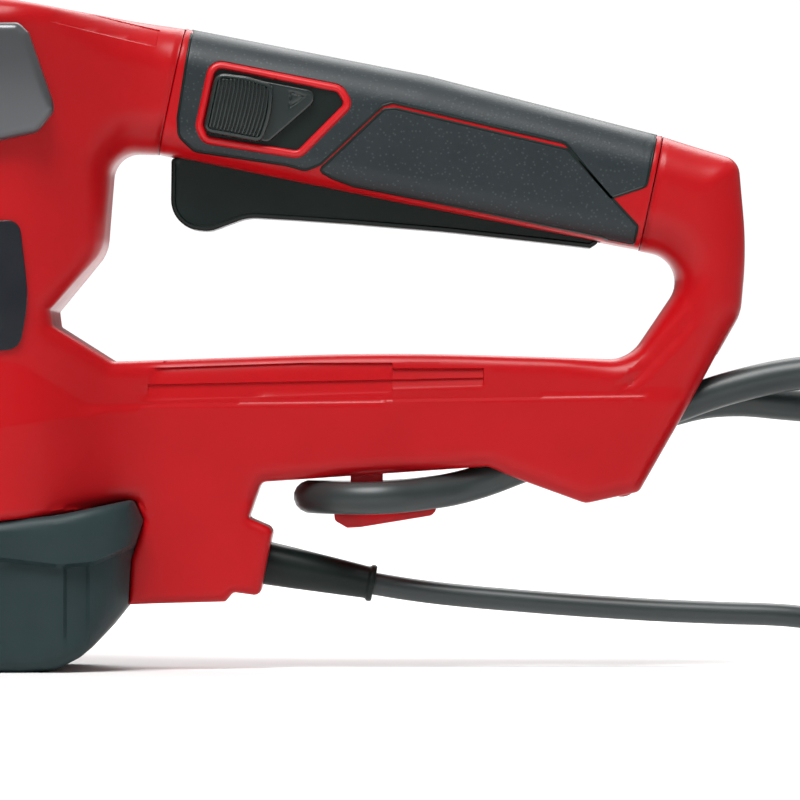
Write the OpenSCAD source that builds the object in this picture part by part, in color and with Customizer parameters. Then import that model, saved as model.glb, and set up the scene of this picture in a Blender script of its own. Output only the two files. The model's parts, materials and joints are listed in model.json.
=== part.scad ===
// Corded hedge trimmer with a rotating rear grip.
// +X runs from the blade tip to the rear handle, +Z is up, and the base stands on z = 0.
// The left side of the tool is the -Y side. Sizes are in millimetres.

/* [Housing] */
// Half of the motor body's width
body_half_w = 40; // [36:1:46]
// Half of the width of the lower bar and the rear post
bar_half_w = 17; // [16:1:20]
// Wall thickness of the housing shells
wall = 2.5; // [2:0.1:3.2]
// Front face of the motor body, along X
body_front_x = -80; // [-90:1:-76]
// Height of the highest point of the motor body
body_top_z = 210; // [200:1:225]

/* [Rear grip] */
// Length of the rotating grip
grip_len = 151.5; // [140:0.5:160]
// Slope of the grip's axis below the horizontal
grip_tilt = 12; // [8:0.5:16]
// Half of the grip's width
grip_half_w = 17.5; // [16:0.5:20]
// Wall thickness of the grip shells
grip_wall = 2.5; // [2:0.1:3.2]
// Thickness of the soft cover on the grip
soft_t = 1.6; // [1:0.1:2.4]
// Radius of the two hollow sleeves that the grip turns on
sleeve_r = 11; // [10:0.5:12]

/* [Trigger and lock] */
// Half of the trigger's width
trigger_half_w = 7; // [6:0.5:8]
// Radius of the trigger's pivot pin
trigger_pin_r = 2; // [1.5:0.1:2.5]
// Travel of the grip's lock slider
slider_travel = 7; // [4:0.5:7.5]

/* [Motor and gears] */
// Distance of the motor shaft from the middle of the base, along X
motor_x = 8; // [4:0.5:12]
// Radius of the motor shaft
shaft_r = 4; // [3.5:0.1:4.5]
// Outer radius of the stator
stator_r = 31; // [28:0.5:33]
// Radius of the armature
armature_r = 18.8; // [16:0.1:20]
// Radius of the cooling fan
fan_r = 27; // [22:0.5:30]
// Gear module
gear_module = 1.25; // [1.1:0.05:1.3]
// Teeth on the pinion
pinion_teeth = 9; // [9:1:10]
// Teeth on the drive gear
gear_teeth = 45; // [40:1:46]
// Thickness of the drive gear
gear_t = 7; // [5:0.5:8]
// Throw of each eccentric, which is half of the blades' stroke
throw = 8; // [6:0.5:9]
// Radius of the eccentric discs
disc_r = 14.5; // [13:0.5:15]
// Thickness of a connecting rod
rod_t = 2.8; // [2.4:0.1:3]

/* [Blades] */
// Length of the toothed part
blade_len = 600; // [480:10:660]
// Distance between teeth
tooth_pitch = 30; // [26:1:36]
// Width of the blade's spine
spine_w = 24; // [20:1:30]
// Length of a tooth, out from the spine
tooth_len = 22; // [16:1:26]
// Thickness of one blade
blade_t = 2; // [1.6:0.1:2.2]

/* [Hand guard and front handle] */
// Half of the hand guard's width
guard_half_w = 112; // [95:1:125]
// Height of the hand guard
guard_h = 172; // [140:1:190]
// Thickness of the hand guard
guard_t = 3.5; // [3:0.1:4.5]
// Height of the front handle's cross bar above the base
handle_top_z = 262; // [250:1:280]
// Radius of the front handle's tube
handle_r = 13; // [12:0.5:15]

/* [Cords] */
// Diameter of the supply cord
cord_d = 7; // [6.5:0.1:7.4]
// Diameter of the extension lead
lead_d = 10.2; // [9.6:0.1:10.6]
// Radius of the lead's coil at the middle of its turns
coil_r = 61; // [58:1:66]
// Turns of the coil, across and up
coil_turns = [3, 4];

/* [Hidden] */

gap = 0.3;               // between pieces on different bodies
run_gap = 0.06;          // radial clearance of a shaft in its bore
$fn = 48;

red = [0.72, 0.07, 0.09];
black = [0.07, 0.08, 0.08];
soft_grey = [0.16, 0.19, 0.2];
steel = [0.62, 0.63, 0.65];
copper = [0.72, 0.38, 0.2];

// ---------------------------------------------------------------- outlines

function unit(v) = v / norm(v);
function turn(a) = a > 180 ? a - 360 : a < -180 ? a + 360 : a;

// A corner at p between its neighbours, rounded to radius r with n steps
function corner(before, p, after, r, n) =
    r <= 0 ? [p] :
    let (
        a = unit(before - p),
        b = unit(after - p),
        half = acos(max(-1, min(1, a * b))) / 2,
        middle = p + unit(a + b) * r / sin(half),
        start = p + a * r / tan(half) - middle,
        end = p + b * r / tan(half) - middle,
        from = atan2(start.y, start.x),
        sweep = turn(atan2(end.y, end.x) - from)
    )
    [for (i = [0:n]) middle + r * [cos(from + sweep * i / n), sin(from + sweep * i / n)]];

// An outline from corners that are each [x, z, radius]
function rounded(corners, n = 5) =
    let (last = len(corners) - 1)
    [for (i = [0:last])
        let (
            p = corners[i],
            q = corners[i == 0 ? last : i - 1],
            s = corners[i == last ? 0 : i + 1]
        )
        each corner([q.x, q.y], [p.x, p.y], [s.x, s.y], p.z, n)];

function signed_area(p) =
    [for (i = [0:len(p) - 1]) let (q = p[(i + 1) % len(p)]) p[i].x * q.y - q.x * p[i].y]
    * [for (i = p) 0.5];

// The outline moved inwards by d
function inset(p, d) =
    let (n = len(p), way = signed_area(p) > 0 ? 1 : -1)
    [for (i = [0:n - 1])
        let (
            e = unit(p[i] - p[(i + n - 1) % n]),
            f = unit(p[(i + 1) % n] - p[i]),
            m = [-e.y, e.x],
            k = [-f.y, f.x]
        )
        p[i] + way * d * (m + k) / (1 + m * k)];

// Rounded corners moved inwards by d, each corner's arc staying on its own centre
function shrink(c, d) =
    let (
        p = [for (q = c) [q.x, q.y]],
        n = len(p),
        way = signed_area(p) > 0 ? 1 : -1,
        q = d == 0 ? p : inset(p, d)
    )
    rounded([for (i = [0:n - 1])
        let (
            e = p[i] - p[(i + n - 1) % n],
            f = p[(i + 1) % n] - p[i],
            outward = way * (e.x * f.y - e.y * f.x) > 0
        )
        [q[i].x, q[i].y, c[i].z == 0 ? 0 : max(0, outward ? c[i].z - d : c[i].z + d)]]);

// Extrudes an outline in the XZ plane between two values of y
module slab(y0, y1) {
    translate([0, y1, 0]) rotate([90, 0, 0]) linear_extrude(height = y1 - y0) children();
}

// A box between two corners
module block(a, b) {
    translate(a) cube(b - a);
}

// A cylinder along +Y
module pin_y(x, y0, y1, z, r) {
    translate([x, y0, z]) rotate([-90, 0, 0]) cylinder(h = y1 - y0, r = r);
}

// ---------------------------------------------------------------- tubes

function bend(a, b, c, d, t) =
    0.5 * (2 * b + (c - a) * t + (2 * a - 5 * b + 4 * c - d) * t * t
        + (3 * b - a - 3 * c + d) * t * t * t);

// A smooth line through the points, with n steps between each two
function smooth(p, n) =
    let (last = len(p) - 1)
    [
        for (i = [0:last - 1], j = [0:n - 1])
            bend(p[max(0, i - 1)], p[i], p[i + 1], p[min(last, i + 2)], j / n),
        p[last]
    ];

// Sweeps a closed section, given as [sideways, upwards] points, along a line.
// The up vector may not be parallel to the line.
module sweep(line, section, up = [0, 0, 1]) {
    n = len(section);
    last = len(line) - 1;
    points = [for (i = [0:last])
        let (
            t = unit(line[min(last, i + 1)] - line[max(0, i - 1)]),
            s = unit(cross(t, up)),
            u = cross(s, t)
        )
        for (q = section) line[i] + q.x * s + q.y * u];
    sides = [for (i = [0:last - 1], j = [0:n - 1])
        let (k = (j + 1) % n)
        [i * n + j, i * n + k, (i + 1) * n + k, (i + 1) * n + j]];
    polyhedron(
        points = points,
        faces = concat(
            [[for (j = [n - 1:-1:0]) j]],
            sides,
            [[for (j = [0:n - 1]) last * n + j]]
        )
    );
}

function ring(r, n) = [for (i = [0:n - 1]) r * [cos(360 * i / n), sin(360 * i / n)]];

// ---------------------------------------------------------------- the frame

neck = [93.8, 178.4];                                  // where the grip's axis leaves the body
axis_way = [cos(grip_tilt), -sin(grip_tilt)];
axis_up = [sin(grip_tilt), cos(grip_tilt)];
function on_grip(u, v) = neck + u * axis_way + v * axis_up;
rear_seam = on_grip(grip_len, 0);
rear = rear_seam - [242, 147.1];                       // how far the rear post is from its usual place

// Puts children in the grip's own frame: X along its axis, Z away from it
module grip_frame() {
    translate([neck.x, 0, neck.y]) rotate([0, grip_tilt, 0]) children();
}

function post(x, z, r) = [x + rear.x, z + rear.y, r];
function at_seam(u, v) = let (p = on_grip(u, v)) [p.x, p.y, 0];

// The line where the red housing meets the black base, from the rear to the front
base_line = [
    [80.8, 20.2, 0], [81.6, 34, 4], [85.4, 46, 1.5], [82.4, 52.6, 2],
    [60, 48, 60], [0, 42, 60], [body_front_x, 40, 0],
];

housing_outline = rounded([
    at_seam(0, -19.8),
    [76, 159.6, 8], [73.2, 129, 12], [57.5, 110.7, 1], [58.1, 106, 1], [76, 94.9, 2],
    [160, 97.8, 900],
    post(235.2, 95.7, 12), post(255.5, 126, 9),
    at_seam(grip_len, -18), at_seam(grip_len, 18),
    post(268.9, 157.4, 6), post(271.3, 130, 120), post(269.4, 110, 14),
    post(238, 55, 3), post(221.5, 51.4, 4), post(200, 59.2, 10), post(191.5, 62.8, 4),
    [121.6, 57.8, 2], [117.7, 46.7, 0.8], [125.3, 43.4, 2.5], [121.2, 22.8, 2],
    [113, 23.9, 1.5], [110.6, 21, 1],
    each base_line,
    [body_front_x - 4, 95, 40], [body_front_x + 12, 168, 30],
    [-28, body_top_z - 2, 30], [18, body_top_z, 60], [59.5, 203.2, 60],
    at_seam(0, 19.9),
]);

// The inside of the bars, the neck and the post, before the wall is taken off
inner_corners = [
    at_seam(0, -19.8), [75.6, 159, 0], [73.2, 129, 0], [57.5, 110, 0], [60, 104, 0], [76, 94.9, 0],
    [160, 97.8, 0], post(235.2, 95.7, 0), post(255.5, 126, 0),
    at_seam(grip_len, -18), at_seam(grip_len, 18),
    post(268.9, 157.4, 0), post(271.3, 130, 0), post(269.4, 110, 0), post(238, 55, 0),
    post(221.5, 51.6, 0), post(200, 59.4, 0), [121.6, 58, 0], [118.6, 25, 0], [110, 22.6, 0],
    [83, 22.6, 0], [84, 49, 0], [60, 48, 0], [0, 42, 0], [body_front_x, 40, 0],
    [body_front_x - 4, 95, 20], [body_front_x + 12, 168, 20],
    [-28, body_top_z - 2, 20], [18, body_top_z, 40], [59.5, 203.2, 40], at_seam(0, 19.9),
];

body_side = [
    [body_front_x + 3, 42, 0], [body_front_x, 95, 30], [body_front_x + 15, 162, 25],
    [-28, body_top_z - 8, 25], [18, body_top_z - 6, 30], [50, 199, 8], [50, 49, 3], [0, 43, 30],
];

// The swelling of the housing round the motor, down to the bars' width; s takes it in for the cavity
module swelling(s) {
    w = body_half_w - s;
    hull() {
        slab(-bar_half_w + s, 0) polygon(shrink([
            [body_front_x, 41, 0], [body_front_x - 4, 95, 30], [body_front_x + 12, 168, 25],
            [-28, body_top_z - 3, 25], [18, body_top_z - 1, 30], [56.5, 202, 4], [56.5, 48.5, 0],
        ], s));
        slab(-w, -w + 1) polygon(shrink(body_side, s + 2));
    }
    hull() {
        block([44, -w + 3, 160 + s], [45, 0, 199 - s]);
        grip_frame() translate([-1.3 - s, -bar_half_w + s + 0.1, -19 + s])
            cube([1, bar_half_w - s - 0.1, 38 - 2 * s]);
    }
    hull() {
        block([44, -w, 49 + s], [45, 0, 84 - s]);
        block([118 - s, -bar_half_w + s, 58 + s], [119 - s, 0, 93 - s]);
    }
}

screw_r = 1.75;
screw_boss_r = 4;
screw_head_r = 3.4;
function screw(p, depth) = [p.x, p.y, depth];
// Each is [x, z, how far the boss reaches out along Y]
screws = [
    screw(on_grip(-14, 11), bar_half_w - 1), screw(on_grip(grip_len + 14, 9), bar_half_w - 1),
    [262 + rear.x, 126 + rear.y, bar_half_w - 1], [233 + rear.x, 58.5 + rear.y, bar_half_w - 1],
    [106, 74, bar_half_w + 2], [62, 78, body_half_w - 7.5], [100, 54, bar_half_w - 1],
    [body_front_x + 9, 60, body_half_w - 3], [body_front_x + 24, 160, body_half_w - 3],
    [0, body_top_z - 11, body_half_w - 3],
];

boot_r = 6.75;
bearing_r = 11;
case_top = 39.5;
lead_slot_half_w = 12.4;

module boot_frame() {
    translate([123, 0, 32.6]) rotate([0, 10.9, 0]) children();
}

// The lead's passage: a slanting channel through the foot of the post
module lead_passage(grow) {
    slab(-lead_slot_half_w - grow, lead_slot_half_w + grow) polygon(rounded([
        post(168, 40, 0), post(182, 63.5 + grow, 6), post(222, 79.9 + grow, 20),
        post(262, 97.5 + grow, 10), post(290, 99 + grow, 0),
        post(290, 73 - grow, 0), post(258, 75 - grow, 10), post(229, 64 - grow, 20), post(205, 40, 0),
    ]));
}

// The -Y half of the housing
module housing_shell() {
    difference() {
        union() {
            difference() {
                union() {
                    slab(-bar_half_w, 0) polygon(housing_outline);
                    swelling(0);
                }
                slab(-bar_half_w + wall, 1) polygon(shrink(inner_corners, wall));
                swelling(wall);
            }
            for (p = screws) pin_y(p.x, -p.z, 0, p.y, screw_boss_r);
            // Seat of the motor's top bearing, and the two cradles of the stator
            block([motor_x - 15, -body_half_w + 1, 141], [motor_x + 15, 0, 151]);
            for (z = [78, 106]) block([motor_x - 34, -body_half_w + 1, z], [motor_x + 34, 0, z + 3]);
            // Blocks that take the two rear base screws
            block([33, -body_half_w + 1, 47], [43, -25, 64]);
            intersection() {
                slab(-bar_half_w, 0) polygon(housing_outline);
                lead_passage(wall);
            }
        }
        lead_passage(0);
        grip_frame() for (u = [-wall - 1, grip_len - 1]) translate([u, 0, 0])
            rotate([0, 90, 0]) cylinder(h = wall + 2, r = sleeve_r + run_gap);
        grip_frame() for (u = [-wall - 6.6, grip_len + wall - 0.1]) translate([u, 0, 0])
            rotate([0, 90, 0]) cylinder(h = 6.7, r = sleeve_r + 3.2);
        translate([motor_x, 0, 142]) cylinder(h = 7, r = bearing_r);
        translate([motor_x, 0, 130]) cylinder(h = 30, r = bearing_r - 3);
        translate([motor_x, 0, 76]) cylinder(h = 36, r = stator_r);
        translate([38, -30, 40]) cylinder(h = 22, r = screw_r);
        // Cooling slots
        for (i = [0:5])
            block([body_front_x + 10, -body_half_w - 1, 72 + i * 7],
                [body_front_x + 34, -body_half_w + wall + 2, 75 + i * 7]);
        block([body_front_x + wall, -34, 20], [78, 1, 46.5]);
        // Room for the gear case's bearing boss
        block([motor_x - 17, -17, 44], [motor_x + 17, 1, 51]);
        boot_frame() translate([-8, 0, 0]) rotate([0, 90, 0]) cylinder(h = 24, r = boot_r);
    }
}

module housing_left() {
    color(red) difference() {
        housing_shell();
        for (p = screws) pin_y(p.x, -11, 1, p.y, screw_r);
    }
}

module housing_right() {
    color(red) difference() {
        mirror([0, 1, 0]) housing_shell();
        for (p = screws) {
            pin_y(p.x, -1, body_half_w + 1, p.y, screw_r + 0.1);
            pin_y(p.x, p.z - 3, body_half_w + 1, p.y, screw_head_r);
        }
    }
}

module housing_screws() {
    color(steel) for (p = screws) difference() {
        union() {
            pin_y(p.x, -11, p.z - 2.9, p.y, screw_r);
            pin_y(p.x, p.z - 3, p.z - 0.6, p.y, screw_head_r - 0.3);
        }
        for (a = [0, 90]) translate([p.x, p.z - 0.5, p.y]) rotate([0, a, 0])
            cube([4, 2.4, 0.8], center = true);
    }
}

module name_plates() {
    plate = rounded([[48.5, 138, 4], [51.3, 114, 40], [48.5, 98.4, 5], [-38, 94, 4], [-38, 133, 4]]);
    color(black) for (side = [-1, 1])
        slab(side > 0 ? body_half_w : -body_half_w - 1, side > 0 ? body_half_w + 1 : -body_half_w)
            polygon(plate);
}

// ---------------------------------------------------------------- base and gear case

snout_x = body_front_x - 16;
base_screws_at = [for (s = [-1, 1]) each [[snout_x + 14, 26 * s], [13, 25 * s], [38, 30 * s]]];
guard_screws_at = [-26, 26];

module plan(w, cut) {
    polygon(rounded([[86 - cut, -w, 22], [86 - cut, w, 22], [snout_x + cut, w, 5], [snout_x + cut, -w, 5]]));
}

module base_cover() {
    top = [for (i = [0:len(base_line) - 1]) base_line[i]];
    color(black) difference() {
        union() {
            difference() {
                intersection() {
                    slab(-43, 43) polygon(rounded([
                        [50, 0, 0], [59.5, 0.8, 3], [67, 4.7, 4], [74.4, 12.4, 10],
                        each top,
                        [body_front_x, 42.6, 0], [snout_x, 42.6, 3], [snout_x, 0, 2],
                    ]));
                    union() {
                        translate([0, 0, -1]) linear_extrude(height = 36) plan(40, 3);
                        translate([0, 0, 35]) linear_extrude(height = 20) plan(43, 0);
                    }
                }
                intersection() {
                    slab(-37.5, 37.5) polygon([
                        [50, wall], [60, 4], [72, 14], [77.5, 21], [78.5, 34], [81, 46], [81, 60],
                        [body_front_x - 1, 60], [body_front_x - 1, 40], [snout_x + 4, 40], [snout_x + 4, wall],
                    ]);
                    translate([0, 0, -1]) linear_extrude(height = 70) plan(37.5, 3);
                }
            }
            for (p = base_screws_at) translate([p.x, p.y, 1])
                cylinder(h = p.x > 30 ? 45.4 : 2.5, r = 4.6);
        }
        for (p = base_screws_at) translate([p.x, p.y, -1]) {
            cylinder(h = 60, r = screw_r + 0.1);
            cylinder(h = 2.6, r = screw_head_r);
        }
        for (y = guard_screws_at) translate([snout_x - 1, y, 30]) rotate([0, 90, 0])
            cylinder(h = 10, r = screw_r + 0.1);
        block([snout_x - 1, -13.5, 8], [snout_x + 8, 13.5, 19]);
    }
}

module base_screws() {
    color(steel) {
        for (p = base_screws_at) translate([p.x, p.y, 0]) {
            translate([0, 0, 0.3]) cylinder(h = 1.3, r = screw_head_r - 0.3);
            cylinder(h = p.x > 30 ? 58 : 16, r = screw_r);
        }
        for (y = guard_screws_at) translate([snout_x - guard_t, y, 30]) rotate([0, 90, 0]) {
            translate([0, 0, -1.8]) cylinder(h = 1.8, r = screw_head_r - 0.3);
            cylinder(h = 14 + guard_t, r = screw_r);
        }
    }
}

gear_x = motor_x - gear_module * (pinion_teeth + gear_teeth) / 2;
rod_len = 44;
low_rod_z = 7.6;
high_rod_z = 21;
low_blade_z = 15.2 - blade_t;
high_blade_z = 15.4;
case_front = snout_x + 4;

module gear_case() {
    color(steel) difference() {
        union() {
            difference() {
                block([case_front, -33, 6.5], [20, 33, case_top]);
                block([case_front + 4, -29.8, 6], [17, 29.8, 36]);
            }
            for (p = base_screws_at) if (p.x < 30)
                translate([p.x, p.y, 6.5]) cylinder(h = 31, r = 5.4);
            translate([motor_x, 0, case_top - 1]) cylinder(h = 11.5, r = 15.5);
        }
        translate([motor_x, 0, 42]) cylinder(h = 20, r = bearing_r);
        translate([motor_x, 0, 30]) cylinder(h = 20, r = 8.2);
        translate([gear_x, 0, 30]) cylinder(h = 8.5, r = 5);
        for (p = base_screws_at) if (p.x < 30) translate([p.x, p.y, 6]) cylinder(h = 11, r = screw_r);
        for (y = guard_screws_at) translate([case_front - 1, y, 30]) rotate([0, 90, 0])
            cylinder(h = 12, r = screw_r);
        block([case_front - 1, -13.2, 9.9], [case_front + 5, 13.2, 17.8]);
    }
}

module gear_case_cover() {
    color(steel) difference() {
        block([case_front, -33, 3.5], [20, 33, 6.5]);
        translate([gear_x, 0, 2]) cylinder(h = 6, r = 5);
        for (p = base_screws_at) if (p.x < 30) translate([p.x, p.y, 3]) cylinder(h = 6, r = screw_r + 0.1);
    }
}

module gear_axle() {
    color(steel) translate([gear_x, 0, 3.6]) cylinder(h = 34.8, r = 5);
}

// ---------------------------------------------------------------- gears

function degrees(r) = r * 180 / PI;
function involute(a) = degrees(tan(a)) - a;

// The outline of a spur gear; shift is its profile shift in modules
function gear_outline(teeth, shift, slack = 0.1) =
    let (
        rp = gear_module * teeth / 2,
        rb = rp * cos(20),
        tip = rp + gear_module * (1 + shift),
        root = rp - gear_module * (1.25 - shift),
        low = max(rb + 0.01, root),
        half = degrees((PI / 2 + 2 * shift * tan(20)) / teeth - slack / (2 * rp)) + involute(20)
    )
    [for (i = [0:teeth - 1])
        let (
            middle = 360 * i / teeth,
            flank = [for (k = [0:4])
                let (r = low + (tip - low) * k / 4)
                [r, half - involute(acos(rb / r))]],
            foot = [root, half - involute(acos(rb / low))]
        )
        each concat(
            [[root * cos(middle - foot.y), root * sin(middle - foot.y)]],
            [for (q = flank) q.x * [cos(middle - q.y), sin(middle - q.y)]],
            [for (k = [4:-1:0]) flank[k].x * [cos(middle + flank[k].y), sin(middle + flank[k].y)]],
            [[root * cos(middle + foot.y), root * sin(middle + foot.y)]]
        )];

module drive_gear() {
    color(steel) translate([gear_x, 0, 27]) difference() {
        rotate(180 / gear_teeth) linear_extrude(height = gear_t) polygon(gear_outline(gear_teeth, -0.5));
        translate([0, 0, -1]) cylinder(h = gear_t + 2, r = 5 + run_gap);
        for (a = [0:60:300]) rotate(a + 30) translate([17, 0, -1]) cylinder(h = gear_t + 2, r = 4.5);
    }
}

module eccentric_discs() {
    color(steel) translate([gear_x, 0, 0]) difference() {
        union() {
            translate([throw, 0, high_rod_z - 0.4]) cylinder(h = rod_t + 0.8, r = disc_r);
            translate([-throw, 0, low_rod_z - 0.4]) cylinder(h = rod_t + 0.8, r = disc_r);
            translate([0, 0, low_rod_z]) cylinder(h = 27 - low_rod_z, r = 6.2);
        }
        cylinder(h = 40, r = 5 + run_gap);
    }
}

// A connecting rod from its eccentric towards the blades
module rod(x, z) {
    color(steel) translate([x, 0, z]) difference() {
        union() {
            cylinder(h = rod_t, r = disc_r + 3.4);
            translate([-rod_len, 0, 0]) cylinder(h = rod_t, r = 6.5);
            translate([-rod_len, -4.5, 0]) cube([rod_len - disc_r, 9, rod_t]);
        }
        translate([0, 0, -1]) cylinder(h = rod_t + 2, r = disc_r + run_gap);
        translate([-rod_len, 0, -1]) cylinder(h = rod_t + 2, r = 3.5 + run_gap);
    }
}

module con_rod_upper() rod(gear_x + throw, high_rod_z);
module con_rod_lower() rod(gear_x - throw, low_rod_z);

module pinion() {
    color(steel) translate([motor_x, 0, 27]) difference() {
        rotate(180 + 180 / pinion_teeth * (pinion_teeth % 2 == 0 ? 1 : 0))
            linear_extrude(height = gear_t) polygon(gear_outline(pinion_teeth, 0.5));
        translate([0, 0, -1]) cylinder(h = gear_t + 2, r = shaft_r - 1);
    }
}

// ---------------------------------------------------------------- motor

module at_motor(z) {
    translate([motor_x, 0, z]) children();
}

module armature_shaft() {
    color(steel) {
        at_motor(26.5) cylinder(h = 14, r = shaft_r - 1);
        at_motor(40) cylinder(h = 110, r = shaft_r);
    }
}

module armature_core() {
    color(steel) at_motor(75) difference() {
        cylinder(h = 38, r = armature_r);
        translate([0, 0, -1]) cylinder(h = 40, r = shaft_r);
        for (a = [0:30:330]) rotate(a) translate([armature_r - 5, -1, -1]) cube([8, 2, 40]);
    }
}

module commutator() {
    color(copper) at_motor(122) difference() {
        cylinder(h = 12, r = 10);
        translate([0, 0, -1]) cylinder(h = 14, r = shaft_r);
        for (a = [0:30:330]) rotate(a) translate([9, -0.3, -1]) cube([2, 0.6, 14]);
    }
}

module cooling_fan() {
    color(black) at_motor(54) difference() {
        union() {
            cylinder(h = 2, r = fan_r);
            cylinder(h = 12, r = 8);
            for (a = [0:30:330]) rotate(a) translate([7, -1, 1]) cube([fan_r - 8, 2, 11]);
        }
        translate([0, 0, -1]) cylinder(h = 14, r = shaft_r);
    }
}

module motor_bearings() {
    color(steel) for (z = [42, 142]) at_motor(z) difference() {
        cylinder(h = 7, r = bearing_r);
        translate([0, 0, -1]) cylinder(h = 9, r = shaft_r + run_gap);
        translate([0, 0, 6.5]) difference() {
            cylinder(h = 1, r = bearing_r - 2);
            translate([0, 0, -1]) cylinder(h = 3, r = shaft_r + 1.8);
        }
    }
}

// A sector of a ring about Z, half_a to each side of +X
module sector(r0, r1, half_a, h) {
    linear_extrude(height = h) polygon(concat(
        [for (i = [0:8]) r0 * [cos(half_a * (i / 4 - 1)), sin(half_a * (i / 4 - 1))]],
        [for (i = [8:-1:0]) r1 * [cos(half_a * (i / 4 - 1)), sin(half_a * (i / 4 - 1))]]
    ));
}

module stator_core() {
    color(steel) at_motor(76) difference() {
        cylinder(h = 36, r = stator_r);
        translate([0, 0, -1]) cylinder(h = 38, r = armature_r + 0.7);
        for (a = [0, 180]) rotate(a) translate([0, 0, -1]) sector(armature_r, armature_r + 7, 26, 38);
    }
}

module field_coils() {
    color(copper) {
        for (z = [70, 112.2]) at_motor(z) difference() {
            cylinder(h = 5.8, r = armature_r + 6.8);
            translate([0, 0, -1]) cylinder(h = 8, r = armature_r + 1.4);
        }
        for (a = [0, 180]) at_motor(74) rotate(a) sector(armature_r + 1.9, armature_r + 6.3, 24, 40);
    }
}

module brush_holders() {
    color(black) difference() {
        union() {
            at_motor(118.5) cylinder(h = 2.5, r = 26);
            at_motor(118.5) for (s = [-1, 1]) translate([-5, s > 0 ? 12 : -25, 0]) cube([10, 13, 14.5]);
        }
        at_motor(118) cylinder(h = 4, r = 12);
        block([motor_x - 3, -26, 125], [motor_x + 3, 26, 131]);
    }
}

module carbon_brushes() {
    color(black) for (s = [-1, 1])
        block([motor_x - 2.95, s > 0 ? 10.3 : -20, 125.05], [motor_x + 2.95, s > 0 ? 20 : -10.3, 130.95]);
}

// ---------------------------------------------------------------- blades

first_tooth = snout_x - 14;
bolts_at = [for (i = [0:3]) first_tooth - 20 - (blade_len - 50) * i / 3];

// The blade's outline, teeth on both edges, when the blades are level with each other
module blade_outline(rear_x, pin_x) {
    teeth = floor(blade_len / tooth_pitch);
    tip = first_tooth - teeth * tooth_pitch;
    edge = [for (i = [0:teeth - 1]) let (x = first_tooth - i * tooth_pitch) each [
        [x, spine_w / 2], [x - 5, spine_w / 2 + tooth_len - 2], [x - 6.5, spine_w / 2 + tooth_len],
        [x - 11.5, spine_w / 2 + tooth_len], [x - 13, spine_w / 2 + tooth_len - 2], [x - 19, spine_w / 2],
    ]];
    difference() {
        polygon(concat(
            [[rear_x, 9], [rear_x - 8, spine_w / 2]],
            edge,
            [[tip - 4, spine_w / 2], [tip - 9, spine_w / 2 - 5], [tip - 9, -spine_w / 2 + 5], [tip - 4, -spine_w / 2]],
            [for (i = [len(edge) - 1:-1:0]) [edge[i].x, -edge[i].y]],
            [[rear_x - 8, -spine_w / 2], [rear_x, -9]]
        ));
        for (x = bolts_at) {
            translate([x - throw, -3.3]) square([2 * throw, 6.6]);
            for (s = [-1, 1]) translate([x + s * throw, 0]) circle(r = 3.3);
        }
    }
}

module upper_blade() {
    color(steel) translate([throw, 0, 0]) {
        translate([0, 0, high_blade_z]) linear_extrude(height = blade_t)
            blade_outline(gear_x - rod_len + 8);
        translate([gear_x - rod_len, 0, high_blade_z]) cylinder(h = high_rod_z - 0.3 - high_blade_z, r = 3.5);
    }
}

module lower_blade() {
    color(steel) translate([-throw, 0, 0]) {
        translate([0, 0, low_blade_z]) linear_extrude(height = blade_t)
            blade_outline(gear_x - rod_len + 8);
        translate([gear_x - rod_len, 0, low_rod_z + rod_t + 0.3])
            cylinder(h = low_blade_z + blade_t - low_rod_z - rod_t - 0.3, r = 3.5);
    }
}

bar_end = first_tooth - floor(blade_len / tooth_pitch) * tooth_pitch - 38;

module blade_guide_bar() {
    color(steel) difference() {
        union() {
            block([bar_end, -10, 10], [case_front + 4, 10, 12.9]);
            // A rim at the tip as high as the blades
            block([bar_end, -10, 12], [bar_end + 8, 10, 17]);
        }
        for (x = bolts_at) translate([x, 0, 9]) cylinder(h = 5, r = 3.05);
    }
}

module blade_bolts() {
    color(steel) for (x = bolts_at) translate([x, 0, 0]) {
        translate([0, 0, 7.4]) cylinder(h = 2.6, r = 5.2);
        translate([0, 0, 8]) cylinder(h = 14, r = 3);
    }
}

module blade_nuts() {
    color(steel) for (x = bolts_at) translate([x, 0, 17.8]) difference() {
        union() {
            cylinder(h = 1, r = 7);
            cylinder(h = 4, r = 5.4, $fn = 6);
        }
        translate([0, 0, -1]) cylinder(h = 6, r = 3.05);
    }
}

module tip_guard() {
    color(black) difference() {
        intersection() {
            block([bar_end - 8, -38, 4], [bar_end + 7.5, 38, 23]);
            translate([0, 0, 3]) linear_extrude(height = 22) polygon(rounded([
                [bar_end + 7.5, -38, 2], [bar_end + 7.5, 38, 2], [bar_end - 2, 38, 4],
                [bar_end - 8, 14, 12], [bar_end - 8, -14, 12], [bar_end - 2, -38, 4]]));
        }
        block([bar_end, -10, 10], [bar_end + 9, 10, 17]);
    }
}

module hand_guard() {
    w = guard_half_w;
    color(black) difference() {
        translate([snout_x - guard_t, 0, 0]) rotate([90, 0, 90]) linear_extrude(height = guard_t)
            polygon(rounded([
                [-w + 12, 3, 8], [-w, 30, 20], [-w, guard_h - 60, 30], [-w + 42, guard_h, 30],
                [w - 42, guard_h, 30], [w, guard_h - 60, 30], [w, 30, 20], [w - 12, 3, 8],
                [44, 3, 6], [40, 0, 4], [-40, 0, 4], [-44, 3, 6],
            ]));
        block([snout_x - guard_t - 1, -13.5, 8], [snout_x + 1, 13.5, 19]);
        for (y = guard_screws_at) translate([snout_x - guard_t - 1, y, 30]) rotate([0, 90, 0])
            cylinder(h = guard_t + 2, r = screw_r + 0.1);
    }
}

// ---------------------------------------------------------------- front handle

// The handle's own frame: -X runs up along the handle, Z away from its plane
module bail_frame() {
    translate([20, 0, 178]) rotate([0, 45, 0]) children();
}

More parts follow.
